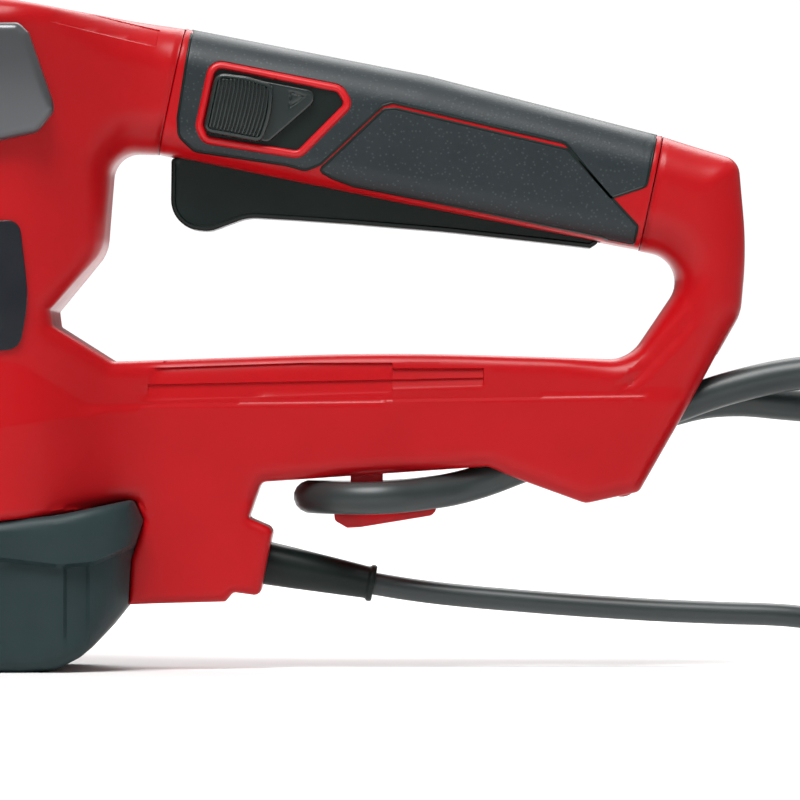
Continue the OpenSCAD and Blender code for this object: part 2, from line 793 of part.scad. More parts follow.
bail_h = (handle_top_z - 178) / sin(45);
bail_half = [
    [-8, 46], [6, 47], [22, 51], [42, 58], [64, 63.5], [86, 64],
    [bail_h - 16, 57], [bail_h - 5, 45], [bail_h, 32],
];
bail_line = smooth(concat(
    [for (p = bail_half) [-p.x, -p.y, 0]],
    [for (i = [len(bail_half) - 1:-1:0]) [-bail_half[i].x, bail_half[i].y, 0]]
), 2);

// Sweeps half of a tube: side is 1 for the rear shell and -1 for the front shell,
// leaving out some rings at each end
module bail_shell(side, r0, r1, leave = 0) {
    all = bail_line;
    total = len(all);
    n = total - 2 * leave;
    arc = 8;
    m = 2 * (arc + 1);
    points = [for (i = [0:n - 1])
        let (
            j = i + leave,
            t = unit(all[min(total - 1, j + 1)] - all[max(0, j - 1)]),
            s = cross(t, [0, 0, 1]),
            grow = max(0, min(1, (min(j, total - 1 - j) - 2) / 7)),
            w = 5.5 / handle_r + (1 - 5.5 / handle_r) * grow
        )
        for (k = [0:m - 1])
            let (
                outer = k <= arc,
                a = 180 * (outer ? k : m - 1 - k) / arc,
                r = outer ? r1 : r0
            )
            all[i + leave] + s * cos(a) * (outer ? r * w : max(1, r1 * w - (r1 - r0)))
                + [0, 0, side * (0.02 + r * sin(a))]];
    faces = concat(
        [[for (j = [m - 1:-1:0]) j]],
        [for (i = [0:n - 2], j = [0:m - 1]) let (k = (j + 1) % m)
            [i * m + j, i * m + k, (i + 1) * m + k, (i + 1) * m + j]],
        [[for (j = [0:m - 1]) (n - 1) * m + j]]
    );
    polyhedron(points = points, faces = side > 0 ? faces : [for (f = faces) [for (j = [len(f) - 1:-1:0]) f[j]]]);
}

module bail_pads() {
    for (s = [-1, 1]) slab(s > 0 ? body_half_w + 0.02 : -body_half_w - 5.5, s > 0 ? body_half_w + 5.5 : -body_half_w - 0.02)
        polygon(rounded([
            [48.2, 197.6, 2], [51.2, 194.7, 1], [58.4, 174, 2], [58.9, 171, 3], [54, 164.8, 3],
            [43, 162.3, 10], [-2, 156, 14], [-22, 176, 12], [-10, 197, 10],
        ]));
}

module front_handle_rear_shell() {
    color(black) {
        bail_frame() bail_shell(1, handle_r - 2.4, handle_r);
        bail_pads();
    }
}

module front_handle_front_shell() {
    color(black) difference() {
        bail_frame() bail_shell(-1, handle_r - 2.4, handle_r, 5);
        bail_frame() block([-bail_h - 6, -31, -20], [-bail_h + 6, 31, 0]);
    }
}

module front_switch_bar() {
    color(black) bail_frame() {
        block([-bail_h - 5.5, -30.5, -handle_r - 4.5], [-bail_h + 5.5, 30.5, -4.5]);
    }
}

module front_handle_switch() {
    color(black) bail_frame() {
        block([-bail_h - 4, 8, 1], [-bail_h + 4, 28, 8.5]);
        block([-bail_h - 2, 16, -0.2], [-bail_h + 2, 20, 1]);
    }
}

// ---------------------------------------------------------------- rear grip

grip_corners = [
    [0.8, -19.6, 1.5], [0.8, 20.2, 1.5], [grip_len / 2, 21.4, 300], [grip_len - 0.8, 18.2, 1.5],
    [grip_len - 0.8, -17.6, 1.5], [grip_len / 2, -19, 300],
];

main_cover = [
    [0, 25], [2.4, 25], [2.4, 17], [4, -7.8], [5.2, -12.4], [10, -15.2], [39.3, -13.2], [46.1, -13.8],
    [49.3, -12], [64.8, 8.9], [67.6, 10.4], [grip_len - 29.5, 9.3], [grip_len - 12.2, -4.4], [grip_len - 2, 1.5], [grip_len - 2, 25],
];
low_panel = [
    [49.7, -14.3], [54.4, -15.8], [61, -17], [90, -16.6], [grip_len - 12.2, -16.4], [grip_len - 10.3, -17.6],
    [grip_len - 2, -17.4], [grip_len - 2, -12], [grip_len - 27.9, 6.8], [69, 8.2], [66.2, 7.4],
];
bezel = [[10.4, -9, 3], [10.2, 11.9, 2], [50.6, 12.8, 3], [55.1, 8, 2], [43.1, -11.3, 3], [13.2, -12.8, 3]];
grip_screws_at = [[20, 13.5], [84, 14.2], [grip_len - 8, 9.5], [grip_len - 26, 12.5], [grip_len - 6, -11]];
pivot = [grip_len - 18, -13.6];

module along(u0, u1) {
    translate([u0, 0, 0]) rotate([90, 0, 90]) linear_extrude(height = u1 - u0) children();
}

// The grip's solid, taken in by s
module grip_solid(s) {
    w = grip_half_w - s;
    intersection() {
        slab(-w, w) polygon(shrink(grip_corners, s));
        along(0, grip_len) polygon(rounded([[-w, -22 + s, 11 - s], [w, -22 + s, 11 - s], [w, 22.5 - s, 14 - s], [-w, 22.5 - s, 14 - s]]));
    }
}

module soft_region() {
    difference() {
        slab(-40, 40) polygon(main_cover);
        slab(-40, 0) polygon(rounded(bezel));
    }
}

module soft_skin() {
    difference() {
        grip_solid(0);
        grip_solid(soft_t);
    }
}

module trigger_slot() {
    block([3.8, -trigger_half_w - 0.4, -30], [grip_len - 12.1, trigger_half_w + 0.4, -11]);
}

module grip_holes() {
    // Trigger slot, sleeve bores, pin, switch of the lock
    trigger_slot();
    for (u = [-1, grip_len - 5]) translate([u, 0, 0]) rotate([0, 90, 0]) cylinder(h = 6, r = sleeve_r);
    pin_y(pivot.x, -grip_half_w - 1, grip_half_w + 1, pivot.y, trigger_pin_r + 0.02);
    block([0, -13.5, -2.9], [14, -9, 2.9]);
    block([15.6, -grip_half_w - 1, -3.4], [27.4 + slider_travel + 0.4, -10, 3.4]);
}

module grip_shell() {
    difference() {
        union() {
            difference() {
                grip_solid(0);
                intersection() {
                    grip_solid(soft_t + grip_wall);
                    block([3.3, -30, -30], [grip_len - 3.3, 30, 30]);
                }
            }
            intersection() {
                grip_solid(soft_t);
                union() {
                    for (p = grip_screws_at) pin_y(p.x, -grip_half_w, grip_half_w, p.y, 3.4);
                    for (s = [-1, 1]) pin_y(pivot.x, s > 0 ? trigger_half_w + 0.5 : -grip_half_w, s > 0 ? grip_half_w : -trigger_half_w - 0.5, pivot.y, 4);
                    // Stops behind the lock spring and above the trigger spring
                    block([48.5, -grip_half_w, -3], [51, -9.5, 3]);
                    block([66, -grip_half_w, -1], [74, grip_half_w, 1]);
                }
            }
        }
        intersection() {
            difference() {
                grip_solid(-1);
                grip_solid(soft_t);
            }
            union() {
                soft_region();
                slab(-40, 40) polygon(low_panel);
            }
        }
        // The slider's recess
        block([-1, -grip_half_w - 1, -30], [0.9, -grip_half_w - 0.9, 30]);
        slab(-grip_half_w - 1, -grip_half_w + soft_t) polygon(shrink(bezel, 1.5));
        grip_holes();
    }
}

module grip_left() {
    color(red) grip_frame() difference() {
        intersection() {
            grip_shell();
            block([-1, -30, -30], [200, 0, 30]);
        }
        for (p = grip_screws_at) pin_y(p.x, -9, 1, p.y, 1.5);
    }
}

module grip_right() {
    color(red) grip_frame() difference() {
        intersection() {
            grip_shell();
            block([-1, 0, -30], [200, 30, 30]);
        }
        for (p = grip_screws_at) {
            pin_y(p.x, -1, 20, p.y, 1.6);
            pin_y(p.x, grip_half_w - 5, 20, p.y, 3);
        }
    }
}

module grip_screws() {
    color(steel) grip_frame() for (p = grip_screws_at) difference() {
        union() {
            pin_y(p.x, -9, grip_half_w - 4.9, p.y, 1.5);
            pin_y(p.x, grip_half_w - 5, grip_half_w - 3, p.y, 2.7);
        }
        for (a = [0, 90]) translate([p.x, grip_half_w - 2.9, p.y]) rotate([0, a, 0]) cube([3.4, 2, 0.7], center = true);
    }
}

module grip_soft_cover() {
    color(soft_grey) grip_frame() difference() {
        intersection() {
            soft_skin();
            soft_region();
        }
        for (p = grip_screws_at) pin_y(p.x, 1, 30, p.y, 3);
        translate([grip_len - 5, 0, 0]) rotate([0, 90, 0]) cylinder(h = 6, r = sleeve_r + run_gap);
    }
}

module grip_soft_panels() {
    color(soft_grey) grip_frame() difference() {
        intersection() {
            soft_skin();
            slab(-40, 40) polygon(low_panel);
        }
        pin_y(pivot.x, -30, 30, pivot.y, trigger_pin_r + 0.02);
        for (p = grip_screws_at) pin_y(p.x, 1, 30, p.y, 3);
        trigger_slot();
        translate([grip_len - 5, 0, 0]) rotate([0, 90, 0]) cylinder(h = 6, r = sleeve_r + run_gap);
    }
}

module pivot_sleeves() {
    color(black) grip_frame() difference() {
        union() {
            translate([-8.9, 0, 0]) rotate([0, 90, 0]) cylinder(h = 12.2, r = sleeve_r);
            translate([-8.9, 0, 0]) rotate([0, 90, 0]) cylinder(h = 6.1, r = sleeve_r + 2.7);
            translate([grip_len - 3.3, 0, 0]) rotate([0, 90, 0]) cylinder(h = 12.2, r = sleeve_r);
            translate([grip_len + 2.8, 0, 0]) rotate([0, 90, 0]) cylinder(h = 6.1, r = sleeve_r + 2.7);
        }
        translate([-20, 0, 0]) rotate([0, 90, 0]) cylinder(h = 200, r = sleeve_r - 3);
    }
}

module main_switch() {
    color(black) grip_frame() {
        block([28, -5, -2.6], [58, 5, 8.5]);
        block([42, -2, -4.6], [46, 2, -2.6]);
        for (u = [32, 43, 54]) block([u - 1.5, -0.4, 8.5], [u + 1.5, 0.4, 12]);
    }
}

trigger_edge = [
    [12, -14, 2], [9, -17, 1], [5.2, -20.5, 1], [6.5, -34.3, 8], [10.5, -38.2, 4], [17, -39.9, 5],
    [26.5, -35.8, 12], [38, -31.4, 12], [62.3, -28.6, 200], [92, -24.8, 300], [grip_len - 29.8, -21.8, 300],
    [grip_len - 14.9, -20.4, 1], [grip_len - 13.1, -18.6, 1], [grip_len - 13.1, -9.4, 4], [grip_len - 22.5, -9.2, 3],
    [grip_len - 27.5, -13.4, 6],
];

module trigger() {
    w = trigger_half_w;
    color(black) grip_frame() difference() {
        union() {
            difference() {
                slab(-w, w) polygon(rounded(trigger_edge));
                slab(-w + 2, w - 2) polygon([
                    [14, -10], [10, -21], [11, -33], [17, -37], [27, -33], [38, -29], [92, -22.6], [124, -19.2], [124, -10],
                ]);
            }
            // The rib that works the switch and the spring
            block([34, -w + 1, -24], [72, w - 1, -13]);
        }
        pin_y(pivot.x, -20, 20, pivot.y, trigger_pin_r + run_gap);
    }
}

module trigger_pin() {
    color(steel) grip_frame() pin_y(pivot.x, -grip_half_w + 4.2, grip_half_w - 4.2, pivot.y, trigger_pin_r);
}

// A coil spring standing along +Z
module coil_spring(r, wire, h, turns) {
    steps = 12 * turns;
    sweep([for (i = [0:steps]) [r * cos(30 * i), r * sin(30 * i), wire + (h - 2 * wire) * i / steps]],
        ring(wire, 6), [0.001, 0, 1]);
}

module trigger_spring() {
    color(steel) grip_frame() translate([69, 0, -12.9]) coil_spring(3.2, 0.5, 11.7, 5);
}

module lock_slider() {
    color(black) grip_frame() {
        g = grip_half_w;
        slab(-g - 3.6, -g + soft_t - 0.3) polygon(rounded([
            [12.4, -8.2, 1.2], [12.3, 8.3, 1.5], [22, 9.2, 20], [30.7, 8.6, 1], [31.6, 0, 40], [31.3, -9.6, 1.5],
            [13.5, -9.6, 1.2],
        ]));
        slab(-g - 0.8, -g + soft_t - 0.3) polygon(rounded([
            [20, 8.6, 0], [30.7, 8.8, 0], [43.9, 9, 1], [43.8, 5, 1], [32.6, -9.8, 1], [20, -9.4, 0],
        ]));
        block([16, -g + 1, -3], [27, -11.2, 3]);
        block([14.3, -13.1, -6], [30, -11.2, 6]);
        block([1.1, -13.1, -2.5], [15, -11.4, 2.5]);
    }
}

module lock_spring() {
    color(steel) grip_frame() translate([30.1, -11.6, 0]) rotate([0, 90, 0]) coil_spring(1.4, 0.3, 18.2, 6);
}

// ---------------------------------------------------------------- cable parts

// Height of the lower bar's underside at x
function under_bar(x) = 57.8 + (x - 121.6) * (62.8 + rear.y - 57.8) / (191.5 + rear.x - 121.6) - 0.02;

module cable_hook() {
    color(red) {
        slab(-6, 6) polygon([[149, 48], [159, 48], [159, under_bar(159)], [149, under_bar(149)]]);
        slab(-9, 9) polygon(rounded([
            [143.8, 48.8, 1], [144.2, 45.8, 1.5], [148, 43.6, 1.5], [152, 43.8, 2], [174, 47.4, 1.5], [177, 50.4, 1], [170, 50, 3], [158, 48.6, 4],
        ]));
    }
}

module cord_boot() {
    color(black) boot_frame() rotate([0, 90, 0]) difference() {
        union() {
            translate([0, 0, -13]) cylinder(h = 5, r = 9);
            translate([0, 0, -8.1]) cylinder(h = 8.2, r = boot_r);
            cylinder(h = 33, r1 = boot_r, r2 = 4.95);
            translate([0, 0, 32]) cylinder(h = 2, r = 5.6);
        }
        translate([0, 0, -14]) cylinder(h = 50, r = cord_d / 2 + 0.05);
    }
}

module cord_clamp() {
    color(black) boot_frame() difference() {
        block([-28, -9, -6], [-20, 9, 6]);
        translate([-30, 0, 0]) rotate([0, 90, 0]) cylinder(h = 12, r = cord_d / 2 + 0.05);
        for (s = [-1, 1]) translate([-24, s * 6.4, -7]) cylinder(h = 14, r = 1.2);
    }
}

module terminal_block() {
    color(black) difference() {
        block([124, -9, 74], [150, 9, 86]);
        for (x = [129, 137, 145], z = [86]) translate([x, 0, z - 4]) cylinder(h = 5, r = 2.6);
    }
}

module capacitor() {
    color([0.75, 0.6, 0.1]) translate([160, 0, 79]) rotate([0, 90, 0]) cylinder(h = 30, r = 8);
}

supply_line = [
    [92, 0, 38.6], [100.5, 0, 36.9], [123, 0, 32.6], [156.5, 0, 26.15], [170, 0, 24], [185, 0, 22.3],
    [215, 0, 19.8], [245, 0, 17.9], [282.7, 1, 16.4], [300, 3, 15], [320, 6, 14],
];

module supply_cord() {
    color(black) sweep(smooth(supply_line, 3), ring(cord_d / 2, 12));
}

// Plug body and coupler, each lying along +X from x
plug_z = 14;
module supply_plug() {
    color(black) translate([320, 6, plug_z]) rotate([0, 90, 0]) {
        difference() {
            cylinder(h = 12, r1 = 5.5, r2 = 9);
            translate([0, 0, -1]) cylinder(h = 1, r = 4);
        }
        translate([0, 0, 12]) cylinder(h = 20, r = 13);
        for (s = [-1, 1]) translate([0, 9.5 * s, 30]) cylinder(h = 20, r = 2.4);
    }
}

module lead_coupler() {
    color(black) translate([352.1, 6, plug_z]) rotate([0, 90, 0]) difference() {
        union() {
            cylinder(h = 32, r = 13.6);
            translate([0, 0, 32]) cylinder(h = 14, r1 = 11, r2 = 7);
        }
        for (s = [-1, 1]) translate([0, 9.5 * s, -1]) cylinder(h = 22, r = 2.45);
    }
}

lead_line = [
    [398.3, 6, 14], [430, 7, 14], [462, 16, 14], [482, 42, 15], [475, 72, 19], [445, 86, 29],
    [410, 72, 45], [370, 44, 61], [330, 20, 73], [300, 8, 80], [282.7, 6, 82], [267.8, 6, 83],
    [254.2, 6, 81.4], [226.3, 6, 71.6], [203, 6.6, 62.8], [186, 8.2, 56.8], [171, 15.5, 54],
    [157, 20.6, 53], [142.6, 14.6, 53], [136.4, 0, 53.2], [142.6, -14.6, 53], [157, -20.6, 53],
    [171, -15.5, 54.1], [186, -8.2, 56.9], [203, -6.6, 63], [226.3, -6, 71.8], [254.2, -6, 82.8],
    [267.8, -6, 87.2], [288.3, -6, 91.4], [308, -9, 92.5], [326, -18, 90], [336, -34, 83],
    [337, -52, 72], [331, -70, 59], [325.5, -86, 49.5], [324, -100, 46.1], [327, -118, 46.1],
];
coil_centre = [385, -95];
tail_line = [[383, -177, 5.2], [400, -177, 5.2], [425, -177.5, 6.5], [450, -179, 9.8], [470, -180, 12]];

module lead_tube() {
    color(black) {
        sweep(smooth(lead_line, 2), ring(lead_d / 2, 10));
        sweep(smooth(tail_line, 2), ring(lead_d / 2, 10));
    }
}

module lead_coil() {
    w = coil_turns.x * lead_d;
    h = coil_turns.y * lead_d;
    color(black) translate([coil_centre.x, coil_centre.y, 0]) rotate_extrude($fn = 96)
        polygon(rounded([[coil_r - w / 2, 0, 4], [coil_r + w / 2, 0, 4], [coil_r + w / 2, h, 4], [coil_r - w / 2, h, 4]], 3));
}

module lead_plug() {
    color(black) translate([470.1, -180, plug_z]) rotate([0, 90, 0]) {
        cylinder(h = 14, r1 = 7, r2 = 10);
        translate([0, 0, 14]) cylinder(h = 22, r = 14);
        for (s = [-1, 1]) translate([0, 9.5 * s, 35]) cylinder(h = 20, r = 2.4);
    }
}

housing_left();
housing_right();
housing_screws();
name_plates();
base_cover();
base_screws();
gear_case();
gear_case_cover();
gear_axle();
front_handle_rear_shell();
front_handle_front_shell();
front_handle_switch();
front_switch_bar();
hand_guard();
stator_core();
field_coils();
brush_holders();
carbon_brushes();
motor_bearings();
armature_shaft();
armature_core();
commutator();
cooling_fan();
pinion();
drive_gear();
eccentric_discs();
con_rod_upper();
con_rod_lower();
upper_blade();
lower_blade();
blade_guide_bar();
blade_bolts();
blade_nuts();
tip_guard();
grip_left();
grip_right();
grip_soft_cover();
grip_soft_panels();
grip_screws();
pivot_sleeves();
main_switch();
trigger();
trigger_pin();
trigger_spring();
lock_slider();
lock_spring();
cable_hook();
cord_boot();
cord_clamp();
terminal_block();
capacitor();
supply_cord();
supply_plug();
lead_tube();
lead_coil();
lead_coupler();
lead_plug();
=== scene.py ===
"""The looks of a corded hedge trimmer with a rotating rear grip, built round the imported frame."""

import json
import logging
import math
from dataclasses import dataclass, field
from enum import Enum
from typing import Callable, Optional, Sequence

import bmesh
import bpy
import numpy as np
from mathutils import Matrix, Vector

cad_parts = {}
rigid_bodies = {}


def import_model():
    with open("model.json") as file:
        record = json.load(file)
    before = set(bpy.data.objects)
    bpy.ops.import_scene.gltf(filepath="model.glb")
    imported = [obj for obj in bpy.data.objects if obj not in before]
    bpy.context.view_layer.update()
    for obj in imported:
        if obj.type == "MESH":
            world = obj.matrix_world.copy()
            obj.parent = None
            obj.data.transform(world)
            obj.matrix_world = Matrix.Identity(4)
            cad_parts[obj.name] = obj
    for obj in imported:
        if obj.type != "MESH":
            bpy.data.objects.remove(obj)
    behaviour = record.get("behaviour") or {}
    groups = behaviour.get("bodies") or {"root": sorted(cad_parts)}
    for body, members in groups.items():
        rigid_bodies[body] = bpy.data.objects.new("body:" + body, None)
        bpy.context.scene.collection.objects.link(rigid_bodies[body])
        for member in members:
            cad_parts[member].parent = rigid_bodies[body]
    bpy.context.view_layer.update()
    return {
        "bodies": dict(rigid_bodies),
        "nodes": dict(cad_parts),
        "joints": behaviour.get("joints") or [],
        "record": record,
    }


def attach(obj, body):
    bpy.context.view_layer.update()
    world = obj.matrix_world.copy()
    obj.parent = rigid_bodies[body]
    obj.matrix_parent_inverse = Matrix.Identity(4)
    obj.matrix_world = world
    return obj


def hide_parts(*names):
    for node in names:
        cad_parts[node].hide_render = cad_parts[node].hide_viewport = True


log = logging.getLogger("hedge_trimmer")

MM = 0.001
FAR = 1e9
SMOOTH_ANGLE = 38.0
CORNERS_ONLY = 1000.0
QUARTER = math.pi / 2
MIX_A, MIX_B, MIX_RESULT = 6, 7, 2
SOLVERS = ("EXACT", "MANIFOLD")
SOLVER_SLACK = 0.0004
LEAST_SHARE = 3
Corner = tuple[float, float, float]
Pair = tuple[float, float]
Triple = tuple[float, float, float]
HalfWidth = Callable[[np.ndarray, np.ndarray], np.ndarray]


class Side(Enum):
    """The two halves of the tool."""

    LEFT = -1
    RIGHT = 1


class Grain(Enum):
    """How a finish's pattern is stretched, as scale factors along X, Y and Z."""

    EVEN = (1.0, 1.0, 1.0)
    ALONG_X = (0.06, 1.0, 1.0)
    RINGS_Z = (0.02, 0.02, 1.0)


# ---------------------------------------------------------------- finishes


def map_range(tree: bpy.types.NodeTree, value: bpy.types.NodeSocket, low_high: Pair,
              to: Pair = (0.0, 1.0)) -> bpy.types.NodeSocket:
    """Adds a node that maps one range of a value to another.

    Args:
        tree: The node tree that it is added to.
        value: The socket that is mapped.
        low_high: The range that it is mapped from.
        to: The range that it is mapped to.

    Returns:
        The mapped value's socket.
    """
    node = tree.nodes.new("ShaderNodeMapRange")
    for entry, number in zip(("From Min", "From Max", "To Min", "To Max"), (*low_high, *to)):
        node.inputs[entry].default_value = number
    tree.links.new(value, node.inputs["Value"])
    return node.outputs["Result"]


@dataclass(frozen=True)
class Finish:
    """A procedural finish: a base colour with variation, a grain in the surface and speckles."""

    name: str
    colour: Triple
    second: Triple
    roughness: float
    metallic: float = 0.0
    patch: float = 0.02
    grain: float = 0.0005
    depth: float = 0.00002
    spread: float = 0.08
    speckle: float = 0.0
    speckle_colour: Triple = (0.5, 0.5, 0.5)
    coat: float = 0.0
    coat_roughness: float = 0.1
    specular: float = 0.5
    lie: Grain = Grain.EVEN

    def material(self) -> bpy.types.Material:
        """Makes the finish's material, or returns it if it is made already.

        Returns:
            The material.
        """
        made = bpy.data.materials.get(self.name)
        if made:
            return made
        made = bpy.data.materials.new(self.name)
        made.use_nodes = True
        tree = made.node_tree
        shader = tree.nodes["Principled BSDF"]
        for entry, value in (("Metallic", self.metallic), ("Coat Weight", self.coat),
                             ("Coat Roughness", self.coat_roughness), ("Specular IOR Level", self.specular)):
            shader.inputs[entry].default_value = value
        where = tree.nodes.new("ShaderNodeTexCoord")
        turn = tree.nodes.new("ShaderNodeMapping")
        turn.inputs["Scale"].default_value = self.lie.value
        tree.links.new(where.outputs["Object"], turn.inputs["Vector"])
        patches = self._noise(tree, turn, self.patch, 4.0)
        fine = self._noise(tree, turn, self.grain, 2.0)
        colour = self._mix(tree, patches, self.colour, self.second)
        if self.speckle:
            dots = tree.nodes.new("ShaderNodeTexVoronoi")
            dots.inputs["Scale"].default_value = 1 / (2.2 * self.grain)
            tree.links.new(turn.outputs["Vector"], dots.inputs["Vector"])
            blend = tree.nodes.new("ShaderNodeMix")
            blend.data_type = "RGBA"
            tree.links.new(map_range(tree, dots.outputs["Distance"], (0.16, 0.3), (self.speckle, 0.0)),
                           blend.inputs["Factor"])
            tree.links.new(colour, blend.inputs[MIX_A])
            blend.inputs[MIX_B].default_value = (*self.speckle_colour, 1)
            colour = blend.outputs[MIX_RESULT]
        tree.links.new(colour, shader.inputs["Base Color"])
        half = self.spread / 2
        rough = map_range(tree, patches, (0.3, 0.7),
                          (max(0.02, self.roughness - half), self.roughness + half))
        tree.links.new(rough, shader.inputs["Roughness"])
        bump = tree.nodes.new("ShaderNodeBump")
        bump.inputs["Strength"].default_value = 0.6
        bump.inputs["Distance"].default_value = self.depth
        tree.links.new(fine, bump.inputs["Height"])
        tree.links.new(bump.outputs["Normal"], shader.inputs["Normal"])
        return made

    @staticmethod
    def _noise(tree: bpy.types.NodeTree, turn: bpy.types.Node, size: float,
               detail: float) -> bpy.types.NodeSocket:
        """Adds a noise of one feature size, in metres, and returns its value socket."""
        noise = tree.nodes.new("ShaderNodeTexNoise")
        noise.inputs["Scale"].default_value = 1 / size
        noise.inputs["Detail"].default_value = detail
        tree.links.new(turn.outputs["Vector"], noise.inputs["Vector"])
        return noise.outputs["Fac"]

    @staticmethod
    def _mix(tree: bpy.types.NodeTree, value: bpy.types.NodeSocket, first: Triple,
             second: Triple) -> bpy.types.NodeSocket:
        """Adds a mix of two colours by a noise value, and returns its colour socket."""
        node = tree.nodes.new("ShaderNodeMix")
        node.data_type = "RGBA"
        node.inputs[MIX_A].default_value = (*first, 1)
        node.inputs[MIX_B].default_value = (*second, 1)
        tree.links.new(map_range(tree, value, (0.35, 0.65)), node.inputs["Factor"])
        return node.outputs[MIX_RESULT]


RED = Finish("glossy_red_plastic", (0.40, 0.003, 0.006), (0.375, 0.0025, 0.005), 0.32, grain=0.00035,
             depth=0.000012, spread=0.06, specular=0.22)
RED_LIP = Finish("red_trim_plastic", (0.52, 0.006, 0.010), (0.48, 0.005, 0.009), 0.3, grain=0.0004,
                 depth=0.00001,
                 specular=0.35)
SOFT = Finish("speckled_soft_rubber", (0.006, 0.012, 0.015), (0.009, 0.016, 0.019), 0.44, grain=0.0006,
              depth=0.00007, speckle=0.3, speckle_colour=(0.07, 0.09, 0.095), specular=0.4)
BLACK = Finish("satin_black_plastic", (0.005, 0.010, 0.009), (0.007, 0.013, 0.011), 0.36, grain=0.0004,
               depth=0.00002,
               specular=0.2)
# the slider's black is polished (low roughness), and its base colour is also lighter than the satin black as a
# painted highlight
SLIDER = Finish("polished_black_with_painted_highlight", (0.010, 0.017, 0.016), (0.012, 0.020, 0.018), 0.24, depth=0.000008,
                spread=0.03)
FOOT = Finish("matt_slate_plastic", (0.014, 0.028, 0.030), (0.018, 0.034, 0.036), 0.48, grain=0.0005,
              depth=0.00003,
              specular=0.22)
PAD = Finish("metallic_grey_plastic", (0.085, 0.088, 0.094), (0.088, 0.091, 0.097), 0.3, metallic=0.6,
             patch=0.06,
             grain=0.0004, depth=0.00001, spread=0.02, coat=0.2, coat_roughness=0.2)
BADGE = Finish("polished_black_plate", (0.004, 0.006, 0.010), (0.006, 0.008, 0.012), 0.18, depth=0.000004,
               specular=0.4)
CORD = Finish("cord_rubber", (0.005, 0.011, 0.011), (0.007, 0.014, 0.013), 0.4, grain=0.0007, depth=0.00004,
              speckle=0.06, speckle_colour=(0.05, 0.06, 0.055), specular=0.22)
STEEL = Finish("ground_steel", (0.56, 0.57, 0.59), (0.46, 0.47, 0.49), 0.3, metallic=1.0, grain=0.0004,
               depth=0.00001,
               lie=Grain.ALONG_X)
TURNED = Finish("turned_steel", (0.52, 0.52, 0.53), (0.42, 0.42, 0.43), 0.26, metallic=1.0, grain=0.0003,
                depth=0.00001,
                lie=Grain.RINGS_Z)
ALLOY = Finish("die_cast_alloy", (0.42, 0.43, 0.45), (0.34, 0.35, 0.37), 0.46, metallic=0.9, grain=0.0012,
               depth=0.00008)
COPPER = Finish("wound_copper", (0.62, 0.25, 0.12), (0.48, 0.16, 0.07), 0.32, metallic=1.0, grain=0.0007,
                depth=0.0002,
                lie=Grain.RINGS_Z)
CARBON = Finish("pressed_carbon", (0.02, 0.02, 0.021), (0.035, 0.035, 0.036), 0.6, grain=0.0005,
                depth=0.00004)
FILM = Finish("capacitor_film", (0.52, 0.33, 0.04), (0.44, 0.27, 0.03), 0.3, grain=0.001, depth=0.00001,
              coat=0.3)
PAPER = Finish("pale_floor", (0.86, 0.86, 0.86), (0.84, 0.84, 0.84), 0.7, patch=0.4, grain=0.004,
               depth=0.00002)

CARRIED: dict[Finish, tuple[str, ...]] = {
    RED: ("cable_hook",),
    BLACK: ("front_handle_rear_shell", "front_handle_front_shell", "front_switch_bar", "front_handle_switch",
            "hand_guard", "cooling_fan", "brush_holders", "tip_guard", "pivot_sleeves", "main_switch",
            "cord_clamp",
            "terminal_block", "trigger", "lock_slider", "cord_boot", "supply_plug", "lead_coupler",
            "lead_plug"),
    BADGE: ("name_plates",),
    FOOT: ("base_cover",),
    STEEL: ("housing_screws", "base_screws", "upper_blade", "lower_blade", "blade_guide_bar", "grip_screws",
            "trigger_pin", "trigger_spring", "lock_spring", "con_rod_upper", "con_rod_lower"),
    TURNED: ("gear_axle", "motor_bearings", "armature_shaft", "pinion", "drive_gear", "eccentric_discs",
             "blade_bolts",
             "blade_nuts", "armature_core", "stator_core"),
    ALLOY: ("gear_case", "gear_case_cover"),
    COPPER: ("field_coils", "commutator"),
    CARBON: ("carbon_brushes",),
    FILM: ("capacitor",),
    SOFT: ("grip_soft_cover", "grip_soft_panels"),
    CORD: ("supply_cord", "lead_tube", "lead_coil"),
}
ROUNDED: dict[str, float] = {
    "hand_guard": 1.3, "tip_guard": 1.6, "name_plates": 0.5, "upper_blade": 0.25, "lower_blade": 0.25,
    "blade_guide_bar": 0.3, "lead_plug": 0.8, "gear_case": 0.8, "gear_case_cover": 0.5, "cooling_fan": 0.3,
    "con_rod_upper": 0.3, "con_rod_lower": 0.3, "front_handle_switch": 0.5, "main_switch": 0.5,
    "terminal_block": 0.4, "cord_clamp": 0.4, "brush_holders": 0.4, "capacitor": 0.8, "blade_bolts": 0.3,
    "blade_nuts": 0.3, "housing_screws": 0.25, "grip_screws": 0.25, "base_screws": 0.25}
WELD_DISTANCE = 0.000002
BEVEL_ANGLE = 40.0


# ---------------------------------------------------------------- shapes


def corner_points(corners: Sequence[Corner]) -> list[Pair]:
    """The points of an outline, with none added along its straight parts."""
    return [(p.x, p.y) for p in Outline(corners, CORNERS_ONLY).ring()]


def with_bounds(faces: list[bmesh.types.BMFace]) -> list:
    """Some faces with their edges and corners, as an operator takes them."""
    return faces + list({e for f in faces for e in f.edges}) + list({v for f in faces for v in f.verts})


def ring_through(bm: bmesh.types.BMesh, places: Sequence[Triple]) -> list[bmesh.types.BMEdge]:
    """Adds a closed line through some places to a mesh, and returns its edges."""
    verts = [bm.verts.new(p) for p in places]
    return [bm.edges.new(pair) for pair in zip(verts, verts[1:] + verts[:1])]


def new_verts(made: dict) -> list[bmesh.types.BMVert]:
    """The corners among what an operator made."""
    return [item for item in made["geom"] if isinstance(item, bmesh.types.BMVert)]


